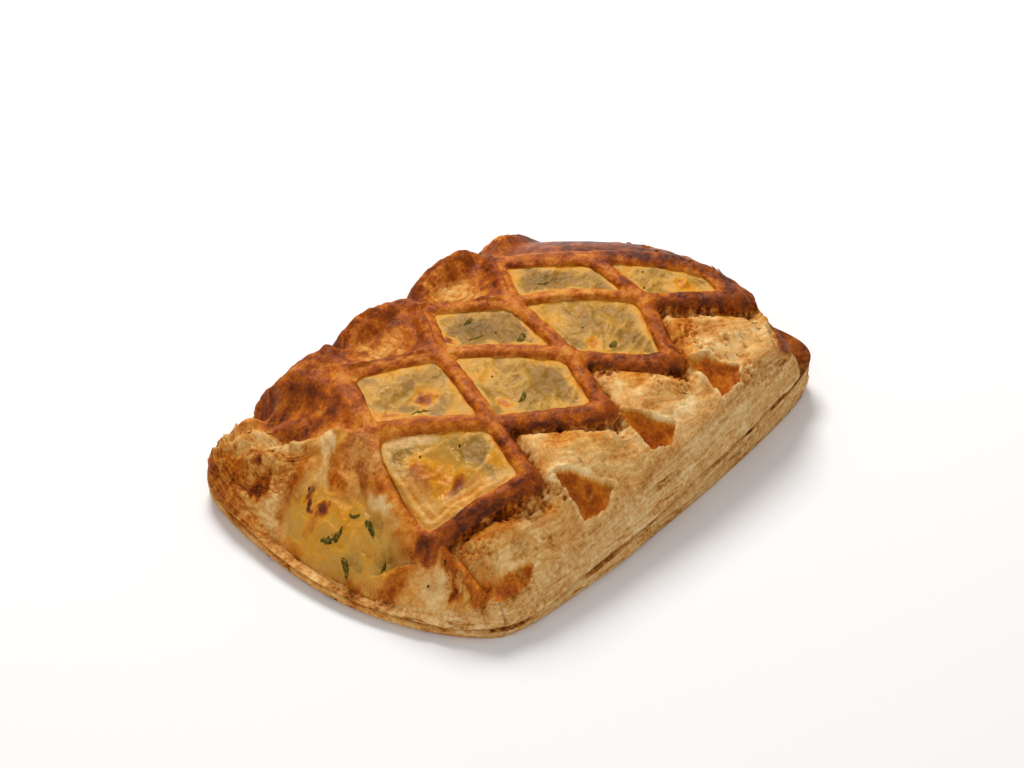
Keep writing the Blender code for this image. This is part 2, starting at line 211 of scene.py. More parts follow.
def noise(points, size, seed=0):
    """Smooth noise of about -1 to 1 at points (n, 3); size is one feature size or one for each axis."""
    scaled = points / np.asarray(size, float) + seed * 19.19
    cell = np.floor(scaled).astype(int)
    part = scaled - cell
    fade = part ** 3 * (part * (part * 6 - 15) + 10)
    total = np.zeros(len(points))
    for corner in np.ndindex(2, 2, 2):
        weight = np.prod(np.where(corner, fade, 1 - fade), axis=1)
        slope = NOISE_SLOPES[noise_pick(cell + corner)]
        total += weight * np.einsum("ij,ij->i", slope, part - corner)
    return total * 1.6


def rough_noise(points, size, octaves, seed=0):
    """Noise with finer and finer detail."""
    size = np.asarray(size, float)
    return sum(noise(points, size / 2 ** k, seed + k) / 2 ** k for k in range(octaves))


def pits(points, size, seed=0):
    """Distance to the nearest of scattered dots about one size apart: 0 on a dot, about 1 far off."""
    scaled = points / np.asarray(size, float) + seed * 7.7
    cell = np.floor(scaled).astype(int)
    nearest = np.full(len(points), 9.0)
    for step in np.ndindex(3, 3, 3):
        at = cell + np.array(step) - 1
        dot = at + 0.5 + 0.38 * NOISE_SLOPES[noise_pick(at)]
        nearest = np.minimum(nearest, np.linalg.norm(scaled - dot, axis=1))
    return nearest


def polygon_distance(x, y, corners):
    """Distance to a polygon's edge, negative inside it."""
    nearest = np.full(len(x), 1e9)
    inside = np.zeros(len(x), bool)
    for (ax, ay), (bx, by) in zip(corners, corners[1:] + corners[:1]):
        dx, dy = bx - ax, by - ay
        t = np.clip(((x - ax) * dx + (y - ay) * dy) / (dx * dx + dy * dy), 0, 1)
        nearest = np.minimum(nearest, np.hypot(x - ax - t * dx, y - ay - t * dy))
        crosses = (ay > y) != (by > y)
        inside ^= crosses & (x < ax + (y - ay) * dx / (dy if dy else 1e-9))
    return np.where(inside, -nearest, nearest)


def smooth_min(a, b, reach):
    share = np.clip(0.5 + 0.5 * (b - a) / reach, 0, 1)
    return b + (a - b) * share - reach * share * (1 - share)


# ---- The form, as in the CAD part ----
def outline_place(u, v):
    share = 1.0 / (CORNER_POWER + 3.0)
    a = u * (1 - share * np.abs(v) ** CORNER_POWER * u * u)
    b = v * (1 - share * np.abs(u) ** CORNER_POWER * v * v)
    s, t = (a + 1) / 2, (b + 1) / 2
    place = [
        (1 - s) * (1 - t) * NEAR_FRONT[k] + s * (1 - t) * NEAR_END[k]
        + s * t * FAR_END[k] + (1 - s) * t * FAR_FRONT[k]
        for k in (0, 1)
    ]
    front = BULGE["front"] * (1 - FRONT_SKEW * b)
    x = place[0] + (1 - b * b) * (BULGE["end"] * s - front * (1 - s))
    y = place[1] + (1 - a * a) * (BULGE["far"] * t - BULGE["near"] * (1 - t))
    return x, y


def shrunk(u, v, distance):
    """(u, v) moved inwards by a distance at the rim."""
    return u * (1 - distance / HALF_LENGTH), v * (1 - distance / HALF_WIDTH)


def along_side(t, values):
    """A smooth curve through the values at t = -1, 0 and 1."""
    start, middle, end = values
    return middle + (end - start) / 2 * t + ((start + end) / 2 - middle) * t * t


def spread(u, v, near, end, far, front):
    """A smooth surface through the heights given along the four sides."""
    s, t = (u + 1) / 2, (v + 1) / 2
    sides = (
        (1 - t) * along_side(u, near) + t * along_side(u, far)
        + (1 - s) * along_side(v, front) + s * along_side(v, end)
    )
    corners = (
        (1 - s) * (1 - t) * near[0] + s * (1 - t) * near[2]
        + s * t * far[2] + (1 - s) * t * far[0]
    )
    return sides - corners


def rim_height(u, v):
    corner = np.clip((u - 0.72) / 0.28, 0, 1) ** 2 * np.clip((-v - 0.2) / 0.5, 0, 1)
    return spread(u, v, RIM_NEAR, RIM_END, RIM_FAR, RIM_FRONT) - END_CORNER_DROP * corner


def seam_height(u, v):
    return spread(u, v, SEAM_NEAR, SEAM_END, SEAM_FAR, SEAM_FRONT)


def end_setback(u, v):
    """How much further in the top sheet stops than the bottom one, at the near end corner."""
    return 6.0 * np.clip((u - 0.8) / 0.2, 0, 1) * np.clip(0.3 - v, 0, 1)


def rim_distances(u, v):
    """How far inside the near, far, front and end rims (u, v) lies."""
    width, length = HALF_WIDTH - LEAN, HALF_LENGTH - LEAN
    return (1 + v) * width, (1 - v) * width, (1 + u) * length, (1 - u) * length


def lobe_height(x):
    """Height of the scallops at x along the far rim."""
    return sum(height * bump(x - middle, LOBE_REACH) ** 0.4 for middle, height in LOBES)


def node_place(i, j):
    """Plan position of lattice node (i, j)."""
    last = len(ROWS) - 1
    row = ROWS[min(max(j, 0), last)] + ROW_BEYOND * (min(j, 0) + max(j - last, 0))
    dx, dy = PULLED.get((i, j), (0.0, 0.0))
    return np.array((FIRST_COLUMN + PITCH * i + SHEAR * j + dx, row + dy))


def top_surface(u, v):
    """The strudel's top over its strands, as x, y, z."""
    x, y = outline_place(*shrunk(u, v, LEAN))
    from_near, from_far, from_front, from_end = rim_distances(u, v)
    low = rim_height(u, v)
    high = CREST - CROWN * ((y - CROWN_LINE) / CROWN_REACH) ** 2
    front = rise(from_front, RISE_FRONT)
    end = rise(from_end, along_side(v, RISE_END))
    z = low + (high - low) * rise(from_near, RISE_NEAR) * rise(from_far, RISE_FAR) * front * end
    z = z + lobe_height(x) * bump(from_far - LOBE_INSIDE, LOBE_INSIDE) * front
    for i, j in OUTER_NODES:
        node = node_place(i, j)
        z = z + CORNER_RISE * bump(np.hypot(x - node[0], y - node[1]), CORNER_REACH)
    fan = np.arctan2(y - FAR_FRONT[1], x - FAR_FRONT[0])
    folded = np.clip(-u - 0.45, 0, 0.3) / 0.3 * np.clip(v - 0.35, 0, 0.3) / 0.3
    z = z + PLEAT_RISE * folded * np.sin(PLEAT_TURNS * fan)
    y = y + LOBE_SWELL * lobe_height(x) * rise(np.clip(1 - from_far / LOBE_INSIDE, 0, 1), 1.0)
    return x, y, z


def cell_coordinates(x, y, i, j):
    """(a, b) of plan points in cell (i, j), each from -1 to 1 between strands; 9 far outside it."""
    low, right = node_place(i, j - 1), node_place(i + 1, j)
    high, left = node_place(i, j + 1), node_place(i - 1, j)
    middle = (low + right + high + left) / 4
    along_a, along_b = (right + high - low - left) / 4, (high + left - low - right) / 4
    twist = (low + high - right - left) / 4
    near = (np.abs(x - middle[0]) < 26) & (np.abs(y - middle[1]) < 34)
    px, py = x[near] - middle[0], y[near] - middle[1]
    a, b = np.zeros(len(px)), np.zeros(len(px))
    for _ in range(7):
        miss_x = px - (along_a[0] * a + along_b[0] * b + twist[0] * a * b)
        miss_y = py - (along_a[1] * a + along_b[1] * b + twist[1] * a * b)
        xa, xb = along_a[0] + twist[0] * b, along_b[0] + twist[0] * a
        ya, yb = along_a[1] + twist[1] * b, along_b[1] + twist[1] * a
        size = xa * yb - xb * ya
        a = np.clip(a + (miss_x * yb - miss_y * xb) / size, -3, 3)
        b = np.clip(b + (miss_y * xa - miss_x * ya) / size, -3, 3)
    whole_a, whole_b = np.full(len(x), 9.0), np.full(len(x), 9.0)
    whole_a[near], whole_b[near] = a, b
    return whole_a, whole_b


def find_cells(x, y):
    """For every plan point: the kind of cell it lies in, its row, and its a and b there."""
    kind = np.full(len(x), "uncut", dtype="<U9")
    row = np.full(len(x), 99)
    a, b = np.zeros(len(x)), np.zeros(len(x))
    kinds = {cell: "window" for cell in WINDOWS}
    kinds.update({cell: "near_slit" for cell in NEAR_SLITS})
    kinds.update({cell: "far_slit" for cell in FAR_SLITS})
    for j in range(-2, 6):
        for i in range(-6, 10):
            if (i + j) % 2:
                continue
            cell_a, cell_b = cell_coordinates(x, y, i, j)
            inside = np.maximum(np.abs(cell_a), np.abs(cell_b)) <= 1.0
            kind[inside] = kinds.get((i, j), "uncut")
            row[inside] = j
            a[inside], b[inside] = cell_a[inside], cell_b[inside]
    return kind, row, a, b


class Lattice:
    """The strand network at plan points: distance from the strands' edges and how they are baked."""

    def __init__(self, x, y):
        self.distance = np.full(len(x), 50.0)        # beyond the edge of the nearest strand
        self.ridge = np.full(len(x), 3.0)            # 0 on a strand's middle line, 1 at its edges
        weights = np.full(len(x), 1e-9)
        bakes, heights = np.zeros(len(x)), np.zeros(len(x))
        for first, last, bow, start_half, end_half, bake, height in STRANDS:
            start, end = node_place(*first), node_place(*last)
            along = (end - start) / np.linalg.norm(end - start)
            length = np.linalg.norm(end - start)
            t = (x - start[0]) * along[0] + (y - start[1]) * along[1]
            share = np.clip(t / length, 0, 1)
            across = (y - start[1]) * along[0] - (x - start[0]) * along[1]
            across = across - bow * 4 * share * (1 - share)
            off = np.hypot(across, t - share * length)
            half = start_half + (end_half - start_half) * share
            self.distance = smooth_min(self.distance, off - half, 1.6)
            self.ridge = np.minimum(self.ridge, off / half)
            weight = np.exp(-off / 1.2)
            weights += weight
            bakes += weight * bake
            heights += weight * height
        self.bake, self.height = bakes / weights, heights / weights


# ---- Meshes ----
def new_object(name, mesh, replaces=None):
    obj = bpy.data.objects.new(name, mesh)
    bpy.context.scene.collection.objects.link(obj)
    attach(obj, "root")
    if replaces:
        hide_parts(replaces)
    return obj


def vertex_normals(points, faces):
    """Area-weighted normals of a mesh of quads."""
    corners = points[faces]
    face_normals = np.cross(corners[:, 2] - corners[:, 0], corners[:, 3] - corners[:, 1])
    normals = np.stack([
        np.bincount(faces.ravel(), np.repeat(face_normals[:, k], 4), len(points)) for k in range(3)
    ], 1)
    return normals / np.maximum(np.linalg.norm(normals, axis=1), 1e-12)[:, None]


def mesh_from(name, points, faces, looks, material, normals=None):
    """A smooth mesh from points in mm; looks holds the painted layers, of which grain is (n, 2)."""
    mesh = bpy.data.meshes.new(name)
    mesh.from_pydata(((points + CENTRING) * MM).tolist(), [], [list(face) for face in faces])
    mesh.shade_smooth()
    for label, values in looks.items():
        if label == "grain":
            continue
        layer = mesh.attributes.new(label, "FLOAT", "POINT")
        layer.data.foreach_set("value", values.astype(np.float32))
    corners = np.zeros(len(mesh.loops), int)
    mesh.loops.foreach_get("vertex_index", corners)
    layer = mesh.uv_layers.new(name="grain")
    layer.data.foreach_set("uv", looks["grain"][corners].astype(np.float32).ravel())
    if normals is not None:
        mesh.normals_split_custom_set_from_vertices(normals.tolist())
    mesh.materials.append(material)
    return mesh


def grid_faces(rows, columns, closed=False):
    """Quads of a rows by columns grid of points; closed joins the last column to the first."""
    r, c = np.meshgrid(np.arange(rows - 1), np.arange(columns if closed else columns - 1),
                       indexing="ij")
    after = (c + 1) % columns
    return np.stack((r * columns + c, r * columns + after,
                     (r + 1) * columns + after, (r + 1) * columns + c), -1).reshape(-1, 4)


LOOKS = ("bake", "glaze", "cheese", "tone", "flaky", "porous", "gloss", "herb")


def plain_looks(count, **values):
    """The painted layers, all plain but for the values given."""
    return {label: np.zeros(count) + values.get(label, 0.0) for label in LOOKS}


def paint(looks, share, **values):
    """Moves painted layers towards the values by a share."""
    share = np.clip(share, 0, 1)
    for label, value in values.items():
        looks[label] = blend(looks[label], value, share)


# ---- The crust's top ----
# Browned or pale places of the front and the far corner: x, y, reach along, across, turn, bake
FRONT_PLACES = (
    (-57.0, 10.0, 5.0, 3.2, 40, 0.60), (-49.5, 9.0, 6.5, 5.0, 40, 0.50),
    (-52.0, 18.0, 6.0, 2.2, 40, 0.12), (-57.5, 14.5, 5.0, 2.0, 20, 0.20),
    (-58.5, 21.5, 5.0, 2.4, 10, 0.56), (-51.0, 3.0, 5.0, 4.0, 60, 0.50),
    (-63.5, 30.0, 4.0, 2.6, 75, 0.86), (-66.5, -16.0, 5.5, 3.6, -30, 0.68),
    (-69.8, -4.0, 9.0, 1.8, 80, 0.62), (-63.5, -26.0, 7.0, 4.6, 60, 0.16),
    (-58.5, -37.0, 4.0, 3.0, 0, 0.66), (-60.0, -20.0, 4.0, 3.0, 60, 0.94),
    (-61.5, -31.0, 3.0, 1.6, 70, 0.74), (-67.0, 24.0, 6.0, 3.5, 60, 0.20),
    (-62.0, 42.0, 9.0, 3.0, 75, 0.70), (-69.0, 14.0, 5.0, 1.6, 80, 0.56),
    (-57.0, -3.0, 2.2, 6.0, -15, 0.06), (-59.0, -9.0, 1.6, 4.0, 0, 0.36),
)
# Folds and hollows of the front: x, y, reach along, across, turn, height
FRONT_SWELLS = (
    (-63.5, 6.0, 12.0, 5.5, 82, 1.5), (-66.0, -16.0, 6.5, 3.2, -35, 1.9),
    (-63.5, -26.0, 7.0, 4.5, 60, -2.0), (-57.5, -2.0, 10.0, 2.6, 78, -1.6),
    (-53.0, 17.0, 8.0, 2.6, 25, 1.4), (-57.0, 10.0, 4.0, 3.0, 40, 0.8),
    (-60.0, 22.0, 9.0, 2.2, -30, 1.2), (-50.0, 9.0, 6.0, 4.0, 40, 0.8),
    (-66.5, 20.0, 6.0, 3.0, 70, -1.2), (-59.5, -30.0, 9.0, 2.4, 80, 1.0),
    (-68.0, -7.0, 4.0, 3.0, 80, -1.0), (-54.0, 13.5, 7.0, 1.8, 30, -0.9),
)
# Hollows inside the scallops of the far side: x, y, reach along, reach across
POCKETS = ((-48.5, 32.5, 7.5, 11.0), (-17.5, 29.5, 9.5, 9.5), (13.5, 29.5, 10.0, 9.0))
NOTCHES = ((-46.0, 5.0), (-23.0, 6.0), (4.5, 4.0), (31.0, 4.0))    # x and depth between the scallops
# Lattice nodes where the dough stays palest; the outer nodes are browner
PALE_NODES = ((-1, 2), (0, 1), (1, 2), (2, 1), (3, 2), (4, 1), (0, 3), (2, 3))
# Where along the strudel (x) or across it (y) its parts begin and are complete
LAST_CUT_X = 62.0
DARK_CREST_X = (38.0, 50.0)
END_SKIN_X = (55.0, 63.0)
RUN_OUT_X = (53.0, 60.0)
FAR_RIM_X = (-54.0, -46.0)
FAR_DIP_X = (-43.0, -50.0)
FAR_CORNER_X = (-50.0, -55.0)
FAR_CORNER_Y = (18.0, 25.0)
FRONT_X = (-50.0, -56.0)
FRONT_NEAR_Y = (-42.0, -36.0)
FRONT_FAR_Y = (30.0, 20.0)
CORNER_FOLD_MIDDLE = (-46.0, 33.0)
TORN_EDGE_AT = (65.0, -31.0)        # the end corner's torn edge passes here
TORN_EDGE_SLOPE = 0.94
TORN_EDGE_Y = (-24.0, -30.0)
TORN_DEPTH = 3.0
SKIN_FALL = 1.4


def top_regions(x, y, u, v):
    """Shares and distances that tell the parts of the crust's top apart."""
    at = flat_points(x, y)
    kind, row, a, b = find_cells(x, y)
    lattice = Lattice(x, y)
    wobble = 0.30 * noise(at, 3.2, 5) + 0.15 * noise(at, 1.3, 6)
    past = lattice.distance + wobble
    opening = polygon_distance(x, y, FRONT_OPENING) + 2 * wobble
    triangle = np.minimum.reduce([polygon_distance(x, y, corners) for corners in GLAZED])
    triangle = triangle + 0.35 * noise(at, 1.6, 7)
    from_near, from_far, from_front, from_end = rim_distances(u, v)
    near_band = ((kind == "near_slit") | (row <= -1)) & (x < LAST_CUT_X)
    right_strand = (1 - a) * HALF_SPACING - 2.6
    left_strand = (1 - b) * HALF_SPACING - 2.4
    sweep = np.where(kind == "near_slit", smooth_min(right_strand, 2.0 * left_strand, 2.0), past)
    return {
        "kind": kind, "lattice": lattice, "past": past, "opening": opening,
        "triangle": triangle, "face": near_band, "glazed": near_band & (triangle < 0),
        "window": kind == "window", "sweep": np.maximum(sweep, past * 0.6),
        "from_near": from_near, "from_far": from_far,
        "inside": np.minimum.reduce((from_near, from_far, from_front, from_end)),
        "mottle": rough_noise(at, 3.6, 3, 30),
    }


def paint_nodes(looks, points, mottle, nodes, shift, reach, bake):
    """Bakes the strands differently round the nodes where they cross."""
    for i, j in nodes:
        node = node_place(i, j)
        away = np.hypot(points[:, 0] - node[0], points[:, 1] - node[1] + shift)
        paint(looks, 0.8 * bump(away + 1.5 * mottle, reach), bake=bake)


def make_strands(points, region, looks):
    """Rounded mottled ropes, paler where most of them cross; looks["drop"] is depth below crests."""
    x = points[:, 0]
    lattice, past = region["lattice"], region["past"]
    ridge = np.clip(lattice.ridge, 0, 1)
    rope = STRAND_DROP * lattice.height * ridge ** 2.2
    rope = rope - 0.30 * noise(points, 3.0, 20) - 0.22 * noise(points, 1.5, 21)
    looks["drop"] = np.where(past > 0, STRAND_DROP, rope)
    mottle = region["mottle"]
    # A paler band along each strand near its crest is a painted highlight; the next lines also darken
    # the strands towards their edges in patches.
    crest_highlight = smooth(0.5, 0.0, np.abs(ridge - 0.35 + 0.4 * noise(points, 5.0, 31)))
    bake = lattice.bake - 0.04 + 0.20 * mottle - 0.14 * crest_highlight
    bake = bake + 0.12 * smooth(0.55, 0.95, ridge) * smooth(-0.3, 0.4, noise(points, 7.0, 39))
    paint(looks, 1.0, bake=bake)
    paint_nodes(looks, points, mottle, PALE_NODES, 0.0, 7.5, 0.54 + 0.20 * mottle)
    paint_nodes(looks, points, mottle, OUTER_NODES, 1.0, 7.0, 0.74 + 0.18 * mottle)
    out = smooth(-0.5, 0.5, past) * (region["kind"] == "uncut")
    paint(looks, out, bake=0.70 + 0.18 * mottle, glaze=0.85)
    paint(looks, 0.8 * smooth(*DARK_CREST_X, x + 2 * mottle), bake=0.90 + 0.24 * mottle)
    end_skin = smooth(*END_SKIN_X, x + 2 * mottle)
    paint(looks, end_skin, bake=0.80 + 0.22 * mottle, glaze=0.9)
    looks["drop"] = looks["drop"] - 0.5 * end_skin * noise(points, 3.5, 22)


def make_window_flanks(points, region, looks):
    """The dough falls away below the filling, golden beside the windows, with a pale cut edge."""
    past, window, mottle = region["past"], region["window"], region["mottle"]
    fall = smooth(-0.1, 1.4, past) * window
    looks["drop"] = looks["drop"] + (WINDOW_DEPTH - STRAND_DROP) * fall
    golden = window * smooth(-1.9, -0.2, past) * smooth(-0.35, 0.25, noise(points, 6.0, 52))
    paint(looks, 0.85 * golden, bake=0.46 + 0.22 * mottle)
    pale = 0.46 - 0.30 * smooth(-0.3, 0.5, noise(points, 8.0, 50)) + 0.2 * mottle
    paint(looks, window * smooth(-0.3, 0.5, past), bake=pale, gloss=0.3, glaze=0.6)


def make_near_faces(points, region, looks):
    """Puffed layers that the near cuts opened; flow runs across the layers."""
    past, sweep, from_near = region["past"], region["sweep"], region["from_near"]
    flow = 14.0 * sweep / (sweep + from_near + 2.0)
    flow = flow + 0.9 * noise(points, 10.0, 8) + 0.35 * noise(points, 3.0, 9)
    along = flat_points(points[:, 0], flow)
    streaks = 0.7 * noise(along, (13.0, 1.5, 1.0), 40) + 0.5 * noise(along, (6.0, 0.7, 1.0), 41)
    flakes = noise(along, (3.5, 1.1, 1.0), 42)
    crumbly = smooth(5.5, 1.0, sweep + 2.2 * noise(points, 5.0, 12))
    crumbly = np.maximum(crumbly, 0.9 * smooth(0.0, 0.5, noise(points, 9.0, 13)))
    notch = FACE_NOTCH * smooth(0.0, 0.9, past) * smooth(5.0, 0.7, sweep)
    hollow = 0.75 * noise(points, (9.0, 6.0, 6.0), 10) + 0.30 * noise(points, 2.2, 11)
    holes = smooth(0.62, 0.28, pits(points, (1.7, 1.3, 1.3), 2)) * crumbly
    edge = smooth(1.4, 0.2, np.clip(region["triangle"], 0, 3))
    relief = 1.1 * hollow + 0.30 * streaks + 0.20 * flakes * crumbly
    drop = STRAND_DROP + notch - 0.7 * bump(flow - 6.0, 5.0) - smooth(0.5, 3.0, past) * relief
    drop = drop + 0.9 * holes * smooth(0.2, 1.0, past) - 0.9 * smooth(7.0, 2.0, from_near)
    share = region["face"] * smooth(-0.5, 0.5, past)
    looks["drop"] = blend(looks["drop"], drop - 0.5 * edge, share)
    region["flow"] = flow
    paint_near_faces(points, region, looks, streaks, hollow, holes, crumbly, edge)


def paint_near_faces(points, region, looks, streaks, hollow, holes, crumbly, edge):
    """Pale layers, golden near the strands, darker in holes, and darker in hollows as painted shade."""
    past, mottle = region["past"], region["mottle"]
    golden = smooth(-0.2, 0.5, noise(points, (10.0, 7.0, 7.0), 33)) * smooth(8.0, 3.0, region["flow"])
    bake = 0.20 + 0.14 * rough_noise(points, 8.0, 3, 32) - 0.12 * streaks
    # The lower hollows are painted darker: painted shade.
    bake = bake + 0.20 * golden + 0.16 * smooth(0.0, 0.6, -hollow)
    bake = bake + 0.34 * smooth(2.6, 0.0, past) + 0.36 * holes - 0.16 * edge
    face_out = region["face"] * smooth(-0.2, 0.35, past)
    paint(looks, face_out, bake=bake, flaky=0.55, porous=crumbly, gloss=0.3,
          glaze=0.25 + 0.6 * golden)
    # the last face runs out into the browned end
    run_out = face_out * smooth(*RUN_OUT_X, points[:, 0] + 3 * noise(points, 4.0, 26))
    paint(looks, 0.6 * run_out, bake=0.50 + 0.2 * mottle, glaze=0.8, gloss=0.4)
    lip = smooth(4.5, 1.0, region["from_near"]) * face_out
    paint(looks, lip * 0.6, bake=0.34 + 0.16 * mottle + 0.1 * streaks, glaze=0.0)


def make_glazed_triangles(points, region, looks):
    """Shiny uncut dough between the near cuts, with a paler rim."""
    glazed, triangle = region["glazed"], region["triangle"]
    drop = GLAZED_DROP + 0.5 * smooth(0, -3.0, triangle) + 0.25 * noise(points, 3.5, 43)
    looks["drop"] = blend(looks["drop"], drop, glazed * smooth(0.0, -0.35, triangle))
    paint(looks, glazed * smooth(-0.05, -0.5, triangle),
          bake=0.63 + 0.14 * region["mottle"] - 0.14 * smooth(-1.6, 0, triangle),
          flaky=0.0, porous=0.0, gloss=0.62, glaze=1.0)


def make_far_side(points, region, looks):
    """Scallops with browned rope-like rims, and the flaky hollows inside them."""
    x, y = points[:, 0], points[:, 1]
    from_far, mottle = region["from_far"], region["mottle"]
    beyond = (region["kind"] == "far_slit") | (y > ROWS[3])
    hollow, rings = np.zeros(len(x)), np.full(len(x), 9.0)
    for at_x, at_y, reach_a, reach_b in POCKETS:
        away = np.hypot((x - at_x) / reach_a, (y - at_y) / reach_b) + 0.05 * mottle
        hollow = np.maximum(hollow, smooth(1.1, 0.55, away))
        rings = np.minimum(rings, away)
    layered = 5.0 * rings + 1.6 * noise(points, 8.0, 44) + 0.4 * noise(points, 2.5, 53)
    steps = (layered - np.floor(layered)) * (x > -38)
    around = smooth(0.75, 1.0, rings) * smooth(2.1, 1.5, rings) * smooth(-44, -49, x)
    rough = 0.6 * noise(points, (5.0, 3.0, 3.0), 45) + 0.45 * noise(points, 1.8, 46)
    rim = smooth(11.0, 7.0, from_far) * smooth(*FAR_RIM_X, x)
    notches = sum(deep * bump(x - at, 4.5) for at, deep in NOTCHES) * smooth(12.0, 4.0, from_far)
    rope = bump(rings - 1.38, 0.36) * beyond * (1 + 0.4 * noise(points, 4.0, 51))
    dip = 2.0 * smooth(*FAR_DIP_X, x) * smooth(16.0, 7.0, from_far)
    pocket = beyond * hollow * (POCKET_DEPTH - 0.45 * steps)
    looks["drop"] = looks["drop"] + pocket - rim * rough + notches - rope + dip
    region["notches"] = notches
    paint(looks, rim, bake=0.66 + 0.24 * mottle - 0.25 * rough, gloss=0.3, porous=0.4, glaze=0.8)
    paint(looks, 0.7 * beyond * bump(rings - 1.08, 0.16), bake=0.88)
    paint(looks, 0.7 * rope, bake=0.74 + 0.24 * mottle, glaze=1.0)
    paint(looks, beyond * smooth(1.15, 0.35, rings), flaky=0.7, gloss=0.6, glaze=0.7,
          bake=0.30 + 0.26 * mottle + 0.22 * smooth(0.4, 0.0, steps))
    paint(looks, 0.8 * smooth(1.5, 3.5, notches), bake=0.86)
    blister = spot(x, y, (-48.5, 33.0), (7.5, 11.0))
    paint(looks, blister * 1.6, bake=0.86 - 0.16 * blister + 0.3 * mottle, gloss=0.8, glaze=1.0,
          flaky=0.0)
    paint(looks, 0.6 * around, bake=0.22)


def make_far_corner(points, region, looks):
    """Folded layers round the first hollow, with brown flecks."""
    x, y = points[:, 0], points[:, 1]
    corner = smooth(*FAR_CORNER_X, x) * smooth(*FAR_CORNER_Y, y)
    dx, dy = x - CORNER_FOLD_MIDDLE[0], y - CORNER_FOLD_MIDDLE[1]
    round_hollow = np.hypot(dx, dy / 1.6)
    folds = round_hollow + 1.1 * noise(points, 7.0, 14) + 0.4 * noise(points, 2.4, 16)
    across = flat_points(folds, np.arctan2(dy, dx) * 10)
    sheets = noise(across, (2.2, 9.0, 1.0), 47) + 0.5 * noise(across, (0.9, 4.0, 1.0), 48)
    looks["drop"] = looks["drop"] - corner * (0.65 * sheets + 0.6 * noise(points, 4.5, 23))
    flecks = smooth(0.35, 0.6, noise(points, (1.4, 2.4, 2.0), 49))
    bake = 0.40 + 0.20 * noise(points, 8.0, 35) - 0.22 * sheets + 0.25 * flecks
    paint(looks, corner, bake=bake, flaky=1.0, porous=0.5, gloss=0.25, glaze=0.55)
    paint(looks, 0.8 * corner * bump(round_hollow - 9.0, 2.4), bake=0.12 - 0.1 * sheets, glaze=0.3)
    region["corner"], region["folds"] = corner, folds


def make_front(points, region, looks):
    """The front, where filling and a thin film of dough run down to the rim."""
    x, y = points[:, 0], points[:, 1]
    past, mottle = region["past"], region["mottle"]
    front = smooth(*FRONT_X, x) * smooth(*FRONT_NEAR_Y, y) * smooth(*FRONT_FAR_Y, y)
    front = front * (1 - region["corner"])
    opening = smooth(1.6, -2.2, region["opening"] + 0.8 * noise(points, 2.5, 17))
    swells = 1.15 * swell_height(x, y, FRONT_SWELLS)
    folds = noise(points, (3.0, 7.0, 4.0), 15)
    film = front * smooth(0, 0.8, past)
    drapes = np.clip(folded(points), 0, 1) ** 2
    looks["drop"] = looks["drop"] + film * (0.9 - 0.55 * folds - 0.5 * drapes) - swells
    looks["drop"] = looks["drop"] + 0.5 * opening * (1 - drapes)
    paint(looks, film, bake=0.33 + 0.24 * noise(points, 6.0, 36) - 0.16 * folds, gloss=0.6,
          flaky=0.25, glaze=0.7)
    for at_x, at_y, reach_a, reach_b, turn, baked in FRONT_PLACES:
        share = spot(x + 1.6 * mottle, y - 1.2 * mottle, (at_x, at_y), (reach_a, reach_b), turn)
        paint(looks, 1.5 * share, bake=baked + 0.14 * mottle, glaze=1.0 if baked > 0.5 else 0.3)
    paint(looks, opening, cheese=1.0, gloss=0.85, flaky=0.0, porous=0.0)
    looks["tone"] = np.where(opening > 0, filling_tone(points), looks["tone"])


def make_end_corner(points, region, looks):
    """The torn end of the top sheet at the near corner, stepping down to a browned skin."""
    x, y = points[:, 0], points[:, 1]
    past = x - TORN_EDGE_AT[0] - TORN_EDGE_SLOPE * (y - TORN_EDGE_AT[1])
    past = past - 1.4 * noise(points, 4.0, 27) - 0.8 * noise(points, 1.6, 28)
    beyond = smooth(0.0, 1.2, past) * smooth(*TORN_EDGE_Y, y)
    fall = TORN_DEPTH - 0.5 * noise(points, 3.0, 29) + SKIN_FALL * smooth(0.0, 7.0, past)
    looks["drop"] = looks["drop"] + fall * beyond
    skin = smooth(1.5, 4.5, past + 1.5 * noise(points, 4.0, 18))
    paint(looks, beyond, bake=0.30 + 0.50 * skin + 0.26 * region["mottle"], glaze=0.2 + 0.7 * skin,
          gloss=0.2 + 0.4 * skin, flaky=0.6 - 0.5 * skin, porous=0.4)


def top_grid():
    """(u, v) of the top grid's points."""
    across, along = np.meshgrid(np.linspace(-1, 1, TOP_GRID[1] + 1),
                                np.linspace(-1, 1, TOP_GRID[0] + 1), indexing="ij")
    return along.ravel(), across.ravel()


def crust_top():
    """Points of the crust's top, its looks, and its (u, v)."""
    u, v = top_grid()
    x, y, z = top_surface(u, v)
    points = np.stack((x, y, z), 1)
    region = top_regions(x, y, u, v)
    looks = plain_looks(len(x), glaze=1.0, gloss=0.75)
    for make in (make_strands, make_window_flanks, make_near_faces, make_glazed_triangles,
                 make_far_side, make_far_corner, make_front, make_end_corner):
        make(points, region, looks)

    inside = region["inside"]
    edge_roughness = smooth(4.0, 0.5, inside) * 0.35 * noise(points, (3.0, 3.0, 1.5), 24)
    z = z - looks.pop("drop") + edge_roughness + 0.15 * noise(points, 4.5, 25)
    z = np.minimum(z - 0.7 * np.clip(1 - inside / 2.0, 0, 1) ** 2, CREST - 0.05)
    y = y - 0.6 * region["notches"] * smooth(12.0, 0.0, region["from_far"])
    looks["bake"] = np.clip(looks["bake"], 0, 1)
    grain = np.where(region["face"], region["flow"], y)
    looks["grain"] = np.stack((x, np.where(region["corner"] > 0.5, region["folds"], grain)), 1)
    bare_face = region["face"] & ~region["glazed"]
    x, y = tuck_under(x, y, region["lattice"].distance, region["past"], region["window"], bare_face)
    return np.stack((x - end_setback(u, v), y, z), 1), looks, u, v


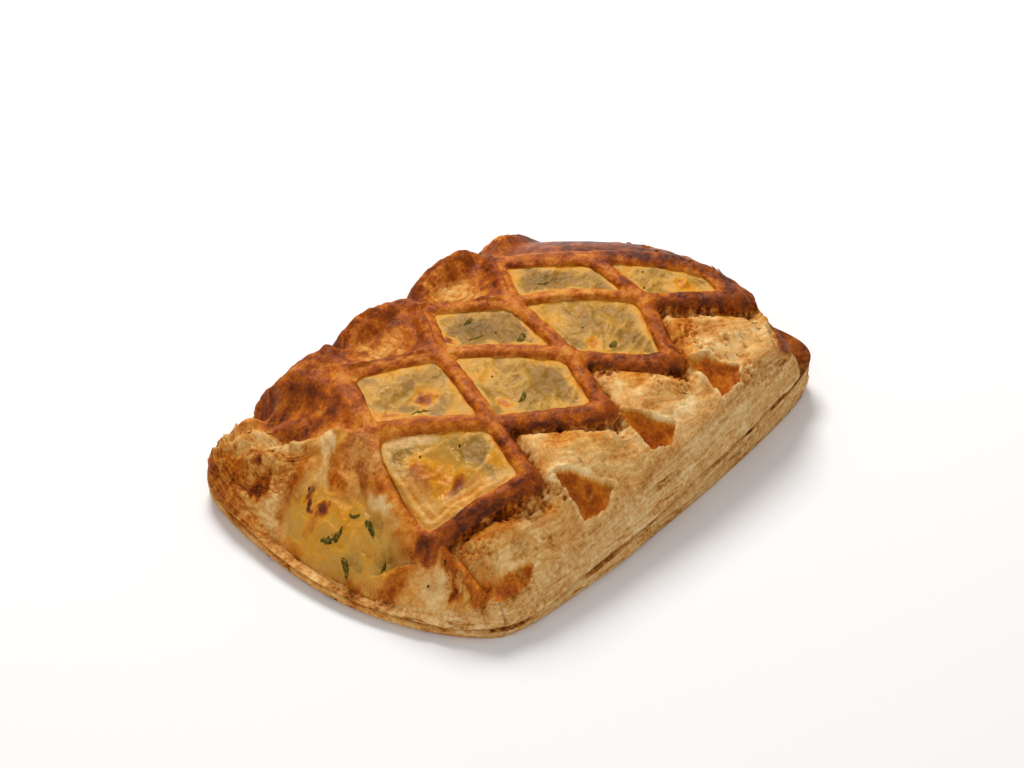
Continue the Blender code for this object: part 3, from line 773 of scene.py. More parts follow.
def tuck_under(x, y, distance, past, window, face):
    """Pulls the flanks in under the strands so that these overhang a little."""
    shape = (TOP_GRID[1] + 1, TOP_GRID[0] + 1)
    place = np.stack((x, y), 1).reshape(*shape, 2)
    slope_v, slope_u = np.gradient(distance.reshape(shape))
    step_u, step_v = np.gradient(place, axis=1), np.gradient(place, axis=0)
    size = step_u[..., 0] * step_v[..., 1] - step_u[..., 1] * step_v[..., 0]
    away_x = (slope_u * step_v[..., 1] - slope_v * step_u[..., 1]) / size
    away_y = (slope_v * step_u[..., 0] - slope_u * step_v[..., 0]) / size
    length = np.maximum(np.hypot(away_x, away_y), 0.3)
    pull = smooth(-0.2, 0.9, past) * smooth(4.0, 0.9, past) * (0.9 * window + 0.9 * face)
    return x - (away_x / length).ravel() * pull, y - (away_y / length).ravel() * pull


def ring_indices():
    """Indices of the top grid's outer points, once round: near side, end, far side, front."""
    columns, rows = TOP_GRID[0] + 1, TOP_GRID[1] + 1
    near = np.arange(columns - 1)
    end = np.arange(rows - 1) * columns + columns - 1
    far = (rows - 1) * columns + np.arange(columns - 1, 0, -1)
    front = np.arange(rows - 1, 0, -1) * columns
    return np.concatenate((near, end, far, front))


# ---- The flaky sides ----
SIDE_INSET = 0.55                   # room for the layers' relief inside the outline
SEAM_GAP = 0.35                     # between the bottom sheet's edge and the top sheet's
FOOT_UNDERCUT = 2.0


def outwards(ring):
    """Unit vectors in plan that point out of a closed ring of points."""
    along = np.roll(ring, -3, 0) - np.roll(ring, 3, 0)
    out = np.stack((along[:, 1], -along[:, 0]), 1)
    return out / np.linalg.norm(out, axis=1)[:, None]


def distance_along(ring):
    """How far along a closed ring each of its points lies."""
    steps = np.linalg.norm(np.roll(ring, -1, 0) - ring, axis=1)
    return np.concatenate(([0], np.cumsum(steps)[:-1]))


def pushed_out(x, y, z, out, relief):
    """Points of a side's rows, moved out of the ring by the relief."""
    x = x.ravel() + np.tile(out[:, 0], len(x)) * relief
    y = y.ravel() + np.tile(out[:, 1], len(y)) * relief
    return np.stack((x, y, z), 1)


def inside_row(points, out, distance):
    """One more row of a side: its given row moved inwards."""
    return points - np.concatenate((out * distance, np.zeros((len(out), 1))), 1)


def layers(s, h, thickness, seed):
    """Relief, layer shade and depth of the crevices on a side: s along it and h up it, in mm; the
    crevices between the layers are painted darker as painted shade.
    """
    flat = flat_points(s, h)
    warp = 1.2 * noise(flat, (36.0, 30.0, 9.0), seed) + 0.6 * noise(flat, (9.0, 7.0, 9.0), seed + 1)
    warped = flat_points(s, (h + warp) / thickness)
    broad = noise(warped, (30.0, 3.0, 9.0), seed + 2)
    sheets = noise(warped, (22.0, 1.1, 9.0), seed + 3)
    sheets = sheets + 0.4 * noise(warped, (7.0, 0.9, 9.0), seed + 4)
    crumbs = noise(warped, (2.2, 0.9, 9.0), seed + 5)
    open_here = smooth(0.05, 0.45, noise(warped, (24.0, 3.0, 9.0), seed + 6))
    gap = smooth(0.16, 0.02, np.abs(sheets)) * open_here
    relief = 0.55 * broad + 0.38 * sheets + 0.16 * crumbs - 0.8 * gap
    return relief, 0.5 * broad + 0.8 * sheets + 0.3 * crumbs, gap


def side_looks(s, height, shade, crevice_shade, seed):
    """Looks shared by the sides of both sheets."""
    flat = flat_points(s, height)
    patches = noise(flat, (24.0, 6.0, 9.0), seed)
    crumbs = noise(flat, (2.4, 1.0, 9.0), seed + 1)
    # Crevices between the layers are painted darker here: painted shade.
    bake = 0.24 - 0.09 * shade + 0.34 * crevice_shade + 0.10 * patches + 0.06 * crumbs
    looks = plain_looks(len(s), bake=bake, flaky=0.8, gloss=0.08)
    looks["porous"] = 0.35 + 0.45 * smooth(-0.2, 0.5, patches)
    looks["grain"] = np.stack((s, height), 1)
    return looks


def seam_shade(s, away):
    """1 in the seam between the two sheets where it gapes, 0 away from it."""
    return smooth(0.9, 0.2, away) * smooth(-0.3, 0.3, noise(flat_points(s, 0 * s), 14.0, 69))


def wall_rows(ring_points, u, v):
    """Smooth rows of the top sheet's side as x, y, z and height over the seam, before its relief."""
    level = (1 - np.linspace(0, 1, WALL_ROWS))[:, None] + np.zeros(len(u))
    seam = seam_height(u, v) + SEAM_GAP
    rim_x, rim_y = outline_place(*shrunk(u, v, LEAN))
    inset = SIDE_INSET + (LEAN - SIDE_INSET) * level ** 1.7
    low_x, low_y = outline_place(*shrunk(u[None, :], v[None, :], inset))
    setback = end_setback(u, v)
    x = low_x - setback + (ring_points[:, 0] - rim_x + setback) * level
    y = low_y + (ring_points[:, 1] - rim_y) * level
    z = seam + (ring_points[:, 2] - seam) * level
    return x, y, z.ravel(), (z - seam).ravel()


def crust_wall(ring_points, ring_bake, u, v):
    """Points and looks of the top sheet's side, from the top's outer ring down to the seam."""
    columns = len(ring_points)
    x, y, z, height = wall_rows(ring_points, u, v)
    wall_height = np.tile(height[:columns], WALL_ROWS)
    from_top = wall_height - height
    s = np.tile(distance_along(ring_points), WALL_ROWS)
    flat = flat_points(s, height)
    relief, shade, crevice_shade = layers(s, height, 1.1, 50)
    relief = relief + 0.7 * noise(flat, (20.0, 8.0, 9.0), 60) - 0.1
    relief = relief * smooth(0.0, 1.6, from_top) * np.clip(wall_height / 12.0, 0.5, 1.0)
    relief = relief * (0.4 + 0.6 * smooth(0.0, 1.0, height)) - 0.5 * smooth(0.7, 0.0, height)
    out = outwards(ring_points[:, :2])
    points = pushed_out(x, y, z, out, relief)

    looks = side_looks(s, height, shade, crevice_shade, 61)
    looks["bake"] = looks["bake"] + 0.45 * seam_shade(s, height)
    paint(looks, 0.7 * smooth(3.0, 0.0, from_top), bake=np.tile(ring_bake, WALL_ROWS))
    whole_u, whole_v = np.tile(u, WALL_ROWS), np.tile(v, WALL_ROWS)
    browned = smooth(0.84, 0.93, whole_u) * smooth(14.0, 5.0, from_top + 3 * noise(flat, 7.0, 66))
    far_side = smooth(0.0, 0.9, whole_v) * smooth(9.0, 3.0, from_top + 3 * noise(flat, 7.0, 67))
    browned = np.maximum(browned * smooth(0.6, -0.4, whole_v), far_side)
    paint(looks, browned, bake=0.66 + 0.25 * noise(flat, 3.0, 68), glaze=0.8, gloss=0.3)
    points = np.concatenate((points, inside_row(points[-columns:], out, 2.5)))
    looks = {label: np.concatenate((values, values[-columns:])) for label, values in looks.items()}
    return points, looks


def paint_base_side(looks, flat, u, v):
    """A smooth front lip with browned spots, and a browned end corner."""
    lip = np.tile(smooth(-0.80, -0.95, u) * smooth(-0.9, -0.6, v), BASE_ROWS)
    stained = smooth(0.05, 0.5, noise(flat, (9.0, 5.0, 9.0), 94))
    paint(looks, 0.8 * lip, flaky=0.2, gloss=0.4, glaze=0.6,
          bake=0.26 + 0.34 * stained + 0.12 * noise(flat, 3.0, 95))
    spotted = smooth(0.45, 0.6, noise(flat, (3.0, 2.4, 9.0), 96))
    paint(looks, lip * spotted, bake=0.90, glaze=1.0)
    corner = np.tile(smooth(0.93, 0.99, u) * smooth(0.4, -0.3, v), BASE_ROWS)
    browned = corner * smooth(4.0, 8.0, flat[:, 1] + 3 * noise(flat, 6.0, 97))
    paint(looks, browned, bake=0.70 + 0.2 * noise(flat, 3.0, 98), glaze=0.8, gloss=0.4)


def base_side(u, v):
    """Points and looks of the bottom sheet's side, from the seam down to the flat foot."""
    columns = len(u)
    level = (1 - np.linspace(0, 1, BASE_ROWS))[:, None] + np.zeros(columns)
    seam = seam_height(u, v)
    inset = SIDE_INSET + FOOT_UNDERCUT * (1 - level) ** 3
    x, y = outline_place(*shrunk(u[None, :], v[None, :], inset))
    rim = np.stack((x[0], y[0]), 1)
    s = np.tile(distance_along(rim), BASE_ROWS)
    height = (seam * level).ravel()
    below_seam = np.tile(seam, BASE_ROWS) - height
    flat = flat_points(s, height)
    relief, shade, crevice_shade = layers(s, height, 1.0, 80)
    tall = np.tile(np.clip(seam / 7.0, 0.3, 1.0), BASE_ROWS)
    edge = smooth(0.0, 1.2, height) * smooth(0.0, 0.8, below_seam)
    relief = (relief - 0.35 + 0.4 * noise(flat, (15.0, 6.0, 9.0), 90)) * tall * edge
    out = outwards(rim)
    points = pushed_out(x, y, height, out, relief)

    looks = side_looks(s, height, shade, crevice_shade, 91)
    looks["bake"] = looks["bake"] + 0.12 * smooth(2.0, 0.0, height)
    looks["bake"] = looks["bake"] + 0.45 * seam_shade(s, below_seam)
    paint_base_side(looks, flat, u, v)
    top_row, foot_row = points[:columns], points[-columns:]
    points = np.concatenate((inside_row(top_row, out, 7.0), points, inside_row(foot_row, out, 1.4)))
    looks = {label: np.concatenate((values[:columns], values, values[-columns:]))
             for label, values in looks.items()}
    return points, looks


# ---- The filling ----
# Places on the filling: x, y, reach along, reach across, turn, tone (0 greenish, 0.7 gold, 1 brown)
FILLING_TONES = (
    (-45.0, -14.0, 16.0, 10.0, 75, 0.60), (-36.0, -17.0, 6.0, 9.0, 0, 0.28),
    (-47.5, -9.0, 8.0, 5.0, 65, 0.70), (-48.5, -7.0, 4.0, 3.0, 65, 0.78),
    (-45.0, -14.0, 7.0, 4.5, 60, 0.66), (-44.5, -18.5, 4.0, 2.8, 20, 0.88),
    (-41.5, -22.0, 5.5, 4.0, 30, 0.66),
    (-34.0, -22.0, 3.0, 4.0, 30, 0.62), (-40.0, -6.0, 3.0, 5.0, 30, 0.50),
    (-33.0, 6.0, 9.0, 6.0, -20, 0.55), (-26.5, 6.0, 6.0, 5.0, 30, 0.66),
    (-38.5, 8.5, 5.0, 3.6, 0, 0.80), (-28.0, 5.0, 4.6, 3.4, 30, 0.86),
    (-41.5, 12.5, 4.6, 3.4, 30, 0.76), (-32.5, 7.0, 5.0, 2.6, -40, 0.22),
    (-30.5, -5.0, 4.0, 3.0, 50, 0.60), (-17.5, -12.0, 3.4, 2.4, 50, 0.72),
    (-6.5, 15.0, 3.4, 2.6, 70, 0.86), (1.0, 14.0, 9.0, 6.0, -50, 0.16),
    (5.5, 3.0, 5.0, 4.0, 0, 0.20), (15.5, -14.0, 4.0, 2.8, 40, 0.70),
    (29.0, 13.0, 8.0, 5.0, -50, 0.20), (51.0, -17.0, 7.0, 3.6, -55, 0.66),
    (-12.0, -1.0, 7.0, 5.0, 45, 0.54), (-3.0, -15.0, 6.0, 9.0, -10, 0.27),
    (17.0, 0.0, 6.0, 5.0, 45, 0.54), (25.0, -20.0, 5.0, 7.0, 20, 0.28),
    (46.0, -2.0, 4.0, 4.0, 0, 0.54), (-37.0, 18.0, 6.0, 4.0, 20, 0.54),
    (-23.0, 8.0, 4.0, 8.0, -30, 0.40), (25.5, 20.0, 4.0, 3.0, 0, 0.50),
    (-63.5, 11.0, 9.0, 6.0, 75, 0.57), (-63.5, 0.0, 10.0, 6.0, 80, 0.56),
    (-62.0, 4.0, 6.0, 2.4, 75, 0.64), (-65.0, 12.0, 3.0, 4.0, 60, 0.68),
    (-62.4, 14.5, 3.0, 1.3, 60, 1.00), (-62.3, 10.0, 2.4, 1.7, 70, 0.96),
    (-60.0, 16.0, 4.0, 1.2, -25, 1.00), (-67.5, -4.0, 5.0, 2.5, 80, 0.36),
    (-59.5, -4.0, 6.0, 2.6, 75, 0.32), (-66.0, -9.5, 3.0, 2.5, 0, 0.46),
)
# Hollows and swells of the filling: x, y, reach along, reach across, turn, height
FILLING_SWELLS = (
    (-31.0, 7.0, 12.0, 7.5, -42, -1.9), (-44.0, -13.0, 13.0, 9.5, 60, -2.1),
    (-47.0, -10.0, 7.5, 4.4, 65, 1.9), (-41.0, -18.0, 4.0, 3.5, 0, 1.0),
    (-28.0, 5.0, 3.0, 2.6, 0, 0.6), (-38.5, 8.5, 3.0, 2.4, 0, 0.5),
    (-9.0, -10.0, 11.0, 9.0, 60, 0.9), (23.0, -10.0, 12.0, 8.0, -60, 0.8),
    (3.0, 10.0, 9.0, 6.0, -60, -0.6), (31.0, 10.0, 10.0, 5.0, -55, -0.6),
)
# The same with a change of tone, for the two windows that look darkest
DARKER_WINDOWS = ((1.0, 8.0, 16.0, 14.0, 0, -0.10), (29.0, 11.0, 16.0, 15.0, 0, -0.12))
FILLING_REACH = (-0.95, 0.84, 0.74)         # the filling's first and last u, and its greatest v
HIDDEN_DEPTH = 4.5                          # extra depth where the crust covers the filling
HIDDEN_END_X = (56.5, 60.0)
HIDDEN_END_DEPTH = 6.0


def folded(points):
    """1 along the thin folds of the film over the filling, falling towards 0 between them."""
    bent = points + 2.0 * noise(points, 7.0, 106)[:, None]
    return 1 - np.minimum(np.abs(noise(bent, (9.0, 5.0, 6.0), 107)) * 2.2,
                          np.abs(noise(bent, (4.0, 8.0, 6.0), 108)) * 2.6)


def filling_tone(points):
    """Colour place of the filling: 0 is greenish, 0.5 cream, 0.65 golden, 1 brown."""
    x, y = points[:, 0], points[:, 1]
    tone = 0.40 + 0.10 * rough_noise(points, 9.0, 3, 102)
    # The crests of the film's folds are painted a little paler: painted highlight.
    tone = tone + 0.05 * smooth(0.4, 1.0, folded(points)) + 0.13 * smooth(-56.0, -60.0, x)
    tone = tone + swell_height(x, y, DARKER_WINDOWS)
    wobble = 1.0 * noise(points, 2.5, 103) + 0.5 * noise(points, 1.1, 111)
    for at_x, at_y, reach_a, reach_b, turn, value in FILLING_TONES:
        share = spot(x + wobble, y - wobble, (at_x, at_y), (reach_a, reach_b), turn)
        strength = 1.35 if value > 0.5 else 0.75
        tone = blend(tone, value + 0.04 * wobble, np.clip(strength * share, 0, 1))
    return np.clip(tone, 0, 1)


def filling_height(points, distance):
    """Height of the filling over the strands' surface at points this far from a strand's edge."""
    wrinkle = 0.70 * noise(points, (10.0, 5.0, 6.0), 100) + 0.20 * noise(points, 2.2, 101)
    wrinkle = (wrinkle + 0.65 * np.clip(folded(points), 0, 1) ** 2) * smooth(-1.0, 3.0, distance)
    climb = 0.8 * smooth(3.5, 0.0, distance)
    return wrinkle + swell_height(points[:, 0], points[:, 1], FILLING_SWELLS) - FILLING_DEPTH + climb


def first_window_layers(points, distance, looks):
    """Paints the thin layers of dough round the first window and returns their height."""
    x, y = points[:, 0], points[:, 1]
    ring = distance + 0.9 * noise(points, 8.0, 105) + 0.2 * noise(points, 2.5, 110)
    layered = smooth(6.5, 4.5, ring) * smooth(-42.0, -50.0, x + 0.55 * (y + 10)) * (y < 4)
    wave = 0.5 + 0.5 * np.cos(3.0 * ring + 0.6 * noise(points, 5.0, 113))
    paint(looks, 0.85 * layered, cheese=0.15, gloss=0.7, glaze=1.0,
          bake=0.16 + 0.36 * (1 - wave) ** 2 + 0.10 * noise(points, 3.0, 114))
    strip = smooth(2.6, 1.6, distance) * spot(x, y, (-43.0, -2.0), (9.0, 6.0), -50)
    paint(looks, 2 * strip, cheese=0.3, bake=0.12, gloss=0.4)
    return layered * smooth(0.2, 1.6, distance) * (0.25 - 0.10 * ring + 0.22 * wave)


def filling_piece():
    """Points and looks of the filling's top, as a grid of (u, v)."""
    first_u, last_u, most_v = FILLING_REACH
    along, across = np.meshgrid(np.linspace(first_u, last_u, FILLING_GRID[0]),
                                np.linspace(-most_v, most_v, FILLING_GRID[1]))
    x, y, z = top_surface(along.ravel(), across.ravel())
    points = np.stack((x, y, z), 1)
    distance = Lattice(x, y).distance
    hidden = (find_cells(x, y)[0] != "window") | (x < -57)
    height = filling_height(points, distance)
    height = height - HIDDEN_DEPTH * hidden * smooth(-1.5, 0.0, distance)
    height = height - HIDDEN_END_DEPTH * smooth(*HIDDEN_END_X, x)
    looks = plain_looks(len(x), cheese=1.0, gloss=0.6, tone=filling_tone(points))
    shiny = spot(x, y, (-44, -12), (17, 19)) + spot(x, y, (-31, 7), (17, 17))
    paint(looks, 2 * shiny, gloss=0.95)
    rim = smooth(3.5, 0.0, distance + 1.2 * noise(points, 3.5, 104))
    paint(looks, rim * smooth(-0.5, 0.5, noise(points, 6.0, 109)), tone=0.60)
    scorched = smooth(1.2, 0.1, distance) * smooth(-0.3, 0.5, noise(points, 4.0, 112))
    paint(looks, scorched, tone=0.70)
    height = height + first_window_layers(points, distance, looks)
    looks["grain"] = np.stack((x, y), 1)
    return np.stack((x, y, z + height), 1), looks


# ---- Herbs and pepper ----
# Chopped leaves: x, y, length, width, turn
LEAVES = (
    (-33.3, 2.5, 5.5, 1.1, -50), (-13.5, -14.0, 4.8, 1.4, 20), (3.0, 17.0, 3.4, 1.4, 0),
    (5.0, 1.0, 4.2, 2.2, 20), (19.0, -18.0, 3.0, 1.6, 0), (28.0, 12.0, 4.0, 1.0, -45),
    (-66.0, 5.0, 6.0, 1.4, -70), (-65.0, 3.0, 3.0, 1.2, -20), (-68.5, -2.0, 3.6, 1.3, 60),
    (-61.0, -4.0, 4.4, 1.4, 70), (-64.5, -11.0, 2.2, 1.2, 10), (-60.5, 1.5, 3.2, 0.8, -60),
    (-1.0, 11.0, 5.0, 1.2, -10),
)
PEPPER = (
    (3.0, 8.0), (18.5, -8.5), (42.5, -10.5), (-60.0, 17.0), (-44.0, -6.0), (-39.0, 1.0),
    (-36.0, -12.0), (-12.0, -3.0), (25.0, 3.0), (-63.0, -24.0), (-59.5, -26.5), (48.0, -6.0),
)
SPECK_SIZE = (0.75, 0.6)
LEAF_STEPS = (13, 7)                # points along and across
SPECK_STEPS = (7, 7)
FLAKE_STEPS = (9, 7)


def leaf(middle, length, width, turn, steps=LEAF_STEPS):
    """Plan points of a bent leaf and its height over what it lies on: a low dome sunk at its edge."""
    t, w = (grid.ravel() for grid in np.meshgrid(np.linspace(-1, 1, steps[0]),
                                                 np.linspace(-1, 1, steps[1]), indexing="ij"))
    half = width / 2 * np.sqrt(np.clip(1 - np.abs(t) ** 2.4, 0, 1)) + 0.02
    along, across = t * length / 2, w * half + 0.12 * length * (t * t - 0.4)
    angle = math.radians(turn)
    x = middle[0] + along * math.cos(angle) - across * math.sin(angle)
    y = middle[1] + along * math.sin(angle) + across * math.cos(angle)
    height = 0.45 * np.sqrt(np.clip(1 - w * w, 0, 1)) * np.sqrt(np.clip(1 - t * t, 0, 1)) - 0.12
    return x, y, height


def add_herbs(material, crust, filling):
    """Chopped leaves and pepper as one piece, laid on the crust at the front and on the filling
    elsewhere.
    """
    plans = [(leaf((at_x, at_y), length, width, turn), LEAF_STEPS, 1.0)
             for at_x, at_y, length, width, turn in LEAVES]
    plans += [(leaf(at, *SPECK_SIZE, 30, SPECK_STEPS), SPECK_STEPS, 0.15) for at in PEPPER]
    points, faces, herb = [], [], []
    for (x, y, height), steps, green in plans:
        under = crust if x.mean() < -57 else filling
        nearest = [np.argmin(np.hypot(under[:, 0] - px, under[:, 1] - py)) for px, py in zip(x, y)]
        faces.append(grid_faces(*steps)[:, ::-1] + sum(len(part) for part in points))
        points.append(np.stack((x, y, under[nearest, 2] + height), 1))
        herb.append(np.full(len(x), green))
    points, faces, herb = (np.concatenate(parts) for parts in (points, faces, herb))
    looks = plain_looks(len(points), bake=1.0, gloss=0.25, herb=herb)
    looks["grain"] = points[:, :2]
    new_object("herbs", mesh_from("herbs", points, faces, looks, material), "filling")


# ---- Loose flakes of dough ----
# Where they lie: x, y, reach along, reach across, turn, how many
FLAKE_PLACES = (
    (-57.0, 40.0, 14.0, 8.0, -60, 26), (-60.0, 28.0, 9.0, 6.0, 80, 12),
    (59.0, -20.0, 6.0, 10.0, 0, 9), (62.0, 2.0, 5.0, 9.0, 0, 9),
    (-48.0, -40.0, 8.0, 4.0, -20, 12), (-15.0, -40.0, 9.0, 5.0, 0, 10),
    (14.0, -40.0, 9.0, 5.0, 0, 10), (46.0, -40.0, 9.0, 5.0, 0, 14),
    (-56.0, -33.0, 5.0, 5.0, 0, 8),
)
FLAKE_LENGTHS = (1.2, 3.2)
FLAKE_THICKNESS = 0.12


def add_flakes(material, crust, bake):
    """Small torn flakes as one piece: thin lenses that lie on the crust, lifted at one end."""
    draw = np.random.default_rng(11)
    points, faces, bakes = [], [], []
    for at_x, at_y, reach_a, reach_b, turn, count in FLAKE_PLACES:
        near = np.flatnonzero(spot(crust[:, 0], crust[:, 1], (at_x, at_y), (reach_a, reach_b), turn))
        for pick in draw.choice(near, count):
            length = draw.uniform(*FLAKE_LENGTHS)
            x, y, dome = leaf(crust[pick, :2], length, length * draw.uniform(0.35, 0.7),
                              draw.uniform(0, 180), FLAKE_STEPS)
            close = near[np.hypot(*(crust[near, :2] - crust[pick, :2]).T) < 2.5]
            nearest = [close[np.argmin(np.hypot(crust[close, 0] - px, crust[close, 1] - py))]
                       for px, py in zip(x, y)]
            lifted = np.linspace(-0.1, draw.uniform(0.2, 0.6), FLAKE_STEPS[0]).repeat(FLAKE_STEPS[1])
            lifted = lifted + 0.08 * draw.normal(size=len(lifted))
            z = np.minimum(crust[nearest, 2] + lifted, CREST - 0.2)
            for side in (1, -1):
                faces.append(grid_faces(*FLAKE_STEPS)[:, ::-side] + sum(len(part) for part in points))
                points.append(np.stack((x, y, z + side * FLAKE_THICKNESS * (dome + 0.12)), 1))
                bakes.append(bake[nearest] * 0.8 + draw.uniform(-0.1, 0.1))
    points, faces, bakes = (np.concatenate(parts) for parts in (points, faces, bakes))
    looks = plain_looks(len(points), bake=bakes, glaze=0.5, gloss=0.3, flaky=0.4)
    looks["grain"] = points[:, :2]
    mesh = mesh_from("flakes", points, faces, looks, material)
    new_object("flakes", mesh, "lattice_sheet")


# ---- Materials ----
def srgb(red, green, blue):
    """Linear colour from 0 to 255 screen values."""
    return tuple((value / 255) ** 2.2 for value in (red, green, blue))


class Nodes:
    """Short ways to add and link shader nodes."""

    def __init__(self, name):
        self.material = bpy.data.materials.new(name)
        self.material.use_nodes = True
        self.tree = self.material.node_tree
        self.shader = self.tree.nodes["Principled BSDF"]

    def add(self, kind, inputs=(), **settings):
        node = self.tree.nodes.new(kind)
        for key, value in settings.items():
            setattr(node, key, value)
        for key, value in dict(inputs).items():
            if isinstance(value, bpy.types.NodeSocket):
                self.tree.links.new(value, node.inputs[key])
            else:
                node.inputs[key].default_value = value
        return node

    def attribute(self, name):
        return self.add("ShaderNodeAttribute", attribute_name=name).outputs["Fac"]

    def math(self, operation, first, second=0.0):
        return self.add("ShaderNodeMath", {0: first, 1: second}, operation=operation).outputs[0]

    def times(self, first, second):
        return self.math("MULTIPLY", first, second)

    def centred(self, value, amount):
        """A 0 to 1 value turned into one of about -amount/2 to amount/2."""
        return self.times(self.math("SUBTRACT", value, 0.5), amount)

    def total(self, *values):
        sum_so_far = values[0]
        for value in values[1:]:
            sum_so_far = self.math("ADD", sum_so_far, value)
        return sum_so_far

    def noise(self, place, scale, detail=4.0, roughness=0.55):
        node = self.add("ShaderNodeTexNoise", {"Vector": place, "Scale": scale, "Detail": detail,
                                               "Roughness": roughness})
        return node.outputs["Fac"]

    def ramp(self, value, stops):
        node = self.add("ShaderNodeValToRGB", {"Fac": value})
        elements = node.color_ramp.elements
        while len(elements) < len(stops):
            elements.new(0.5)
        for element, (position, colour) in zip(elements, stops):
            element.position = position
            element.color = (*colour, 1.0)
        return node.outputs["Color"]

    def mix(self, kind, factor, first, second):
        node = self.add("ShaderNodeMix", {"Factor": factor}, data_type="RGBA", blend_type=kind)
        for socket, value in ((node.inputs[6], first), (node.inputs[7], second)):
            if isinstance(value, bpy.types.NodeSocket):
                self.tree.links.new(value, socket)
            else:
                socket.default_value = (*value, 1.0)
        return node.outputs[2]

    def set(self, **values):
        for key, value in values.items():
            socket = self.shader.inputs[key.replace("_", " ")]
            if isinstance(value, bpy.types.NodeSocket):
                self.tree.links.new(value, socket)
            else:
                socket.default_value = value


BARE_DOUGH = (
    (0.00, srgb(236, 204, 150)), (0.15, srgb(222, 178, 116)), (0.32, srgb(206, 150, 86)),
    (0.48, srgb(180, 120, 60)), (0.62, srgb(150, 90, 40)), (0.78, srgb(114, 62, 26)),
    (1.00, srgb(66, 34, 16)),
)
GLAZED_DOUGH = (
    (0.00, srgb(222, 176, 104)), (0.25, srgb(210, 144, 58)), (0.50, srgb(188, 104, 24)),
    (0.65, srgb(160, 78, 10)), (0.80, srgb(130, 60, 12)), (1.00, srgb(78, 36, 14)),
)
BAKED_CHEESE = (
    (0.00, srgb(78, 62, 22)), (0.20, srgb(122, 88, 30)), (0.38, srgb(152, 109, 38)),
    (0.50, srgb(194, 144, 58)), (0.62, srgb(212, 142, 26)), (0.74, srgb(178, 94, 4)),
    (0.87, srgb(134, 64, 4)), (1.00, srgb(88, 38, 4)),
)
HERB = ((0.30, srgb(44, 34, 8)), (0.50, srgb(88, 74, 22)), (0.70, srgb(144, 126, 58)))


def strudel_material():
    """Baked dough and melted filling, told apart by the painted layers."""
    nodes = Nodes("baked strudel")
    place = nodes.add("ShaderNodeTexCoord").outputs["Object"]
    grain = nodes.add("ShaderNodeUVMap", uv_map="grain").outputs["UV"]
    stretched = nodes.add("ShaderNodeMapping", {"Vector": grain, "Scale": (0.09, 1.9, 1.0)})
    lines = nodes.noise(stretched.outputs["Vector"], 1.0, 6.0, 0.66)
    spots = nodes.noise(place, 300.0, 3.0)
    specks = nodes.noise(place, 1100.0, 4.0, 0.7)
    cells = nodes.add("ShaderNodeTexVoronoi", {"Vector": place, "Scale": 780.0}).outputs["Distance"]
    flaky, gloss = nodes.attribute("flaky"), nodes.attribute("gloss")
    porous, cheese = nodes.attribute("porous"), nodes.attribute("cheese")

    line_share = nodes.times(nodes.centred(lines, 1.1), flaky)
    hole_share = nodes.times(nodes.centred(cells, -0.5), porous)
    bake = nodes.total(nodes.attribute("bake"), line_share, hole_share,
                       nodes.centred(spots, 0.45), nodes.centred(specks, 0.70))
    dough = nodes.mix("MIX", nodes.attribute("glaze"), nodes.ramp(bake, BARE_DOUGH),
                      nodes.ramp(bake, GLAZED_DOUGH))
    tone = nodes.total(nodes.attribute("tone"), nodes.centred(spots, 0.16),
                       nodes.centred(specks, 0.26))
    colour = nodes.mix("MIX", cheese, dough, nodes.ramp(tone, BAKED_CHEESE))
    colour = nodes.mix("MIX", nodes.attribute("herb"), colour, nodes.ramp(specks, HERB))

    roughness = nodes.total(nodes.times(gloss, -0.50), nodes.centred(specks, 0.3),
                            nodes.times(cheese, -0.10), 0.72)
    wrinkled = nodes.noise(place, 520.0, 3.0, 0.6)
    height = nodes.total(nodes.times(nodes.times(lines, flaky), 1.5),
                         nodes.times(nodes.times(cells, porous), 1.2),
                         nodes.times(nodes.times(wrinkled, gloss), 1.6),
                         nodes.times(specks, 0.6), nodes.times(spots, 0.6))
    relief = nodes.add("ShaderNodeBump", {"Height": height, "Strength": 0.8, "Distance": 0.0006})
    shine = nodes.total(nodes.times(gloss, 0.13), nodes.times(cheese, 0.11), 0.02)
    nodes.set(Base_Color=colour, Roughness=roughness, Normal=relief.outputs["Normal"],
              Subsurface_Weight=0.10, Subsurface_Radius=(1.0, 0.5, 0.25), Subsurface_Scale=0.0012,
              Specular_IOR_Level=shine)
    return nodes.material


def floor_material():
    nodes = Nodes("pale floor")
    nodes.set(Base_Color=(0.80, 0.80, 0.805, 1.0), Roughness=0.9)
    return nodes.material


# ---- Pieces ----
def add_crust(material):
    """The top with its strands and the side below it, shaded as one surface."""
    top, top_looks, u, v = crust_top()
    ring = ring_indices()
    wall, wall_looks = crust_wall(top[ring], top_looks["bake"][ring], u[ring], v[ring])
    top_faces = grid_faces(TOP_GRID[1] + 1, TOP_GRID[0] + 1)
    wall_faces = grid_faces(WALL_ROWS + 1, len(ring), closed=True)[:, ::-1]
    index = np.concatenate((ring, len(top) + np.arange(len(wall) - len(ring))))
    whole = np.concatenate((top, wall[len(ring):]))
    normals = vertex_normals(whole, np.concatenate((top_faces, index[wall_faces])))
    mesh = mesh_from("crust_top", top, top_faces, top_looks, material, normals[:len(top)])
    new_object("crust_top", mesh, "lattice_sheet")
    mesh = mesh_from("crust_side", wall, wall_faces, wall_looks, material, normals[index])
    new_object("crust_side", mesh, "lattice_sheet")
    add_flakes(material, top, top_looks["bake"])
    return top


def add_base(material):
    """The bottom sheet's side and its flat underside."""
    u, v = top_grid()
    ring = ring_indices()
    points, looks = base_side(u[ring], v[ring])
    faces = grid_faces(BASE_ROWS + 2, len(ring), closed=True)[:, ::-1].tolist()
    faces.append(list(range(len(points) - 1, len(points) - len(ring) - 1, -1)))
    new_object("base_side", mesh_from("base_side", points, faces, looks, material),
               "base_sheet")


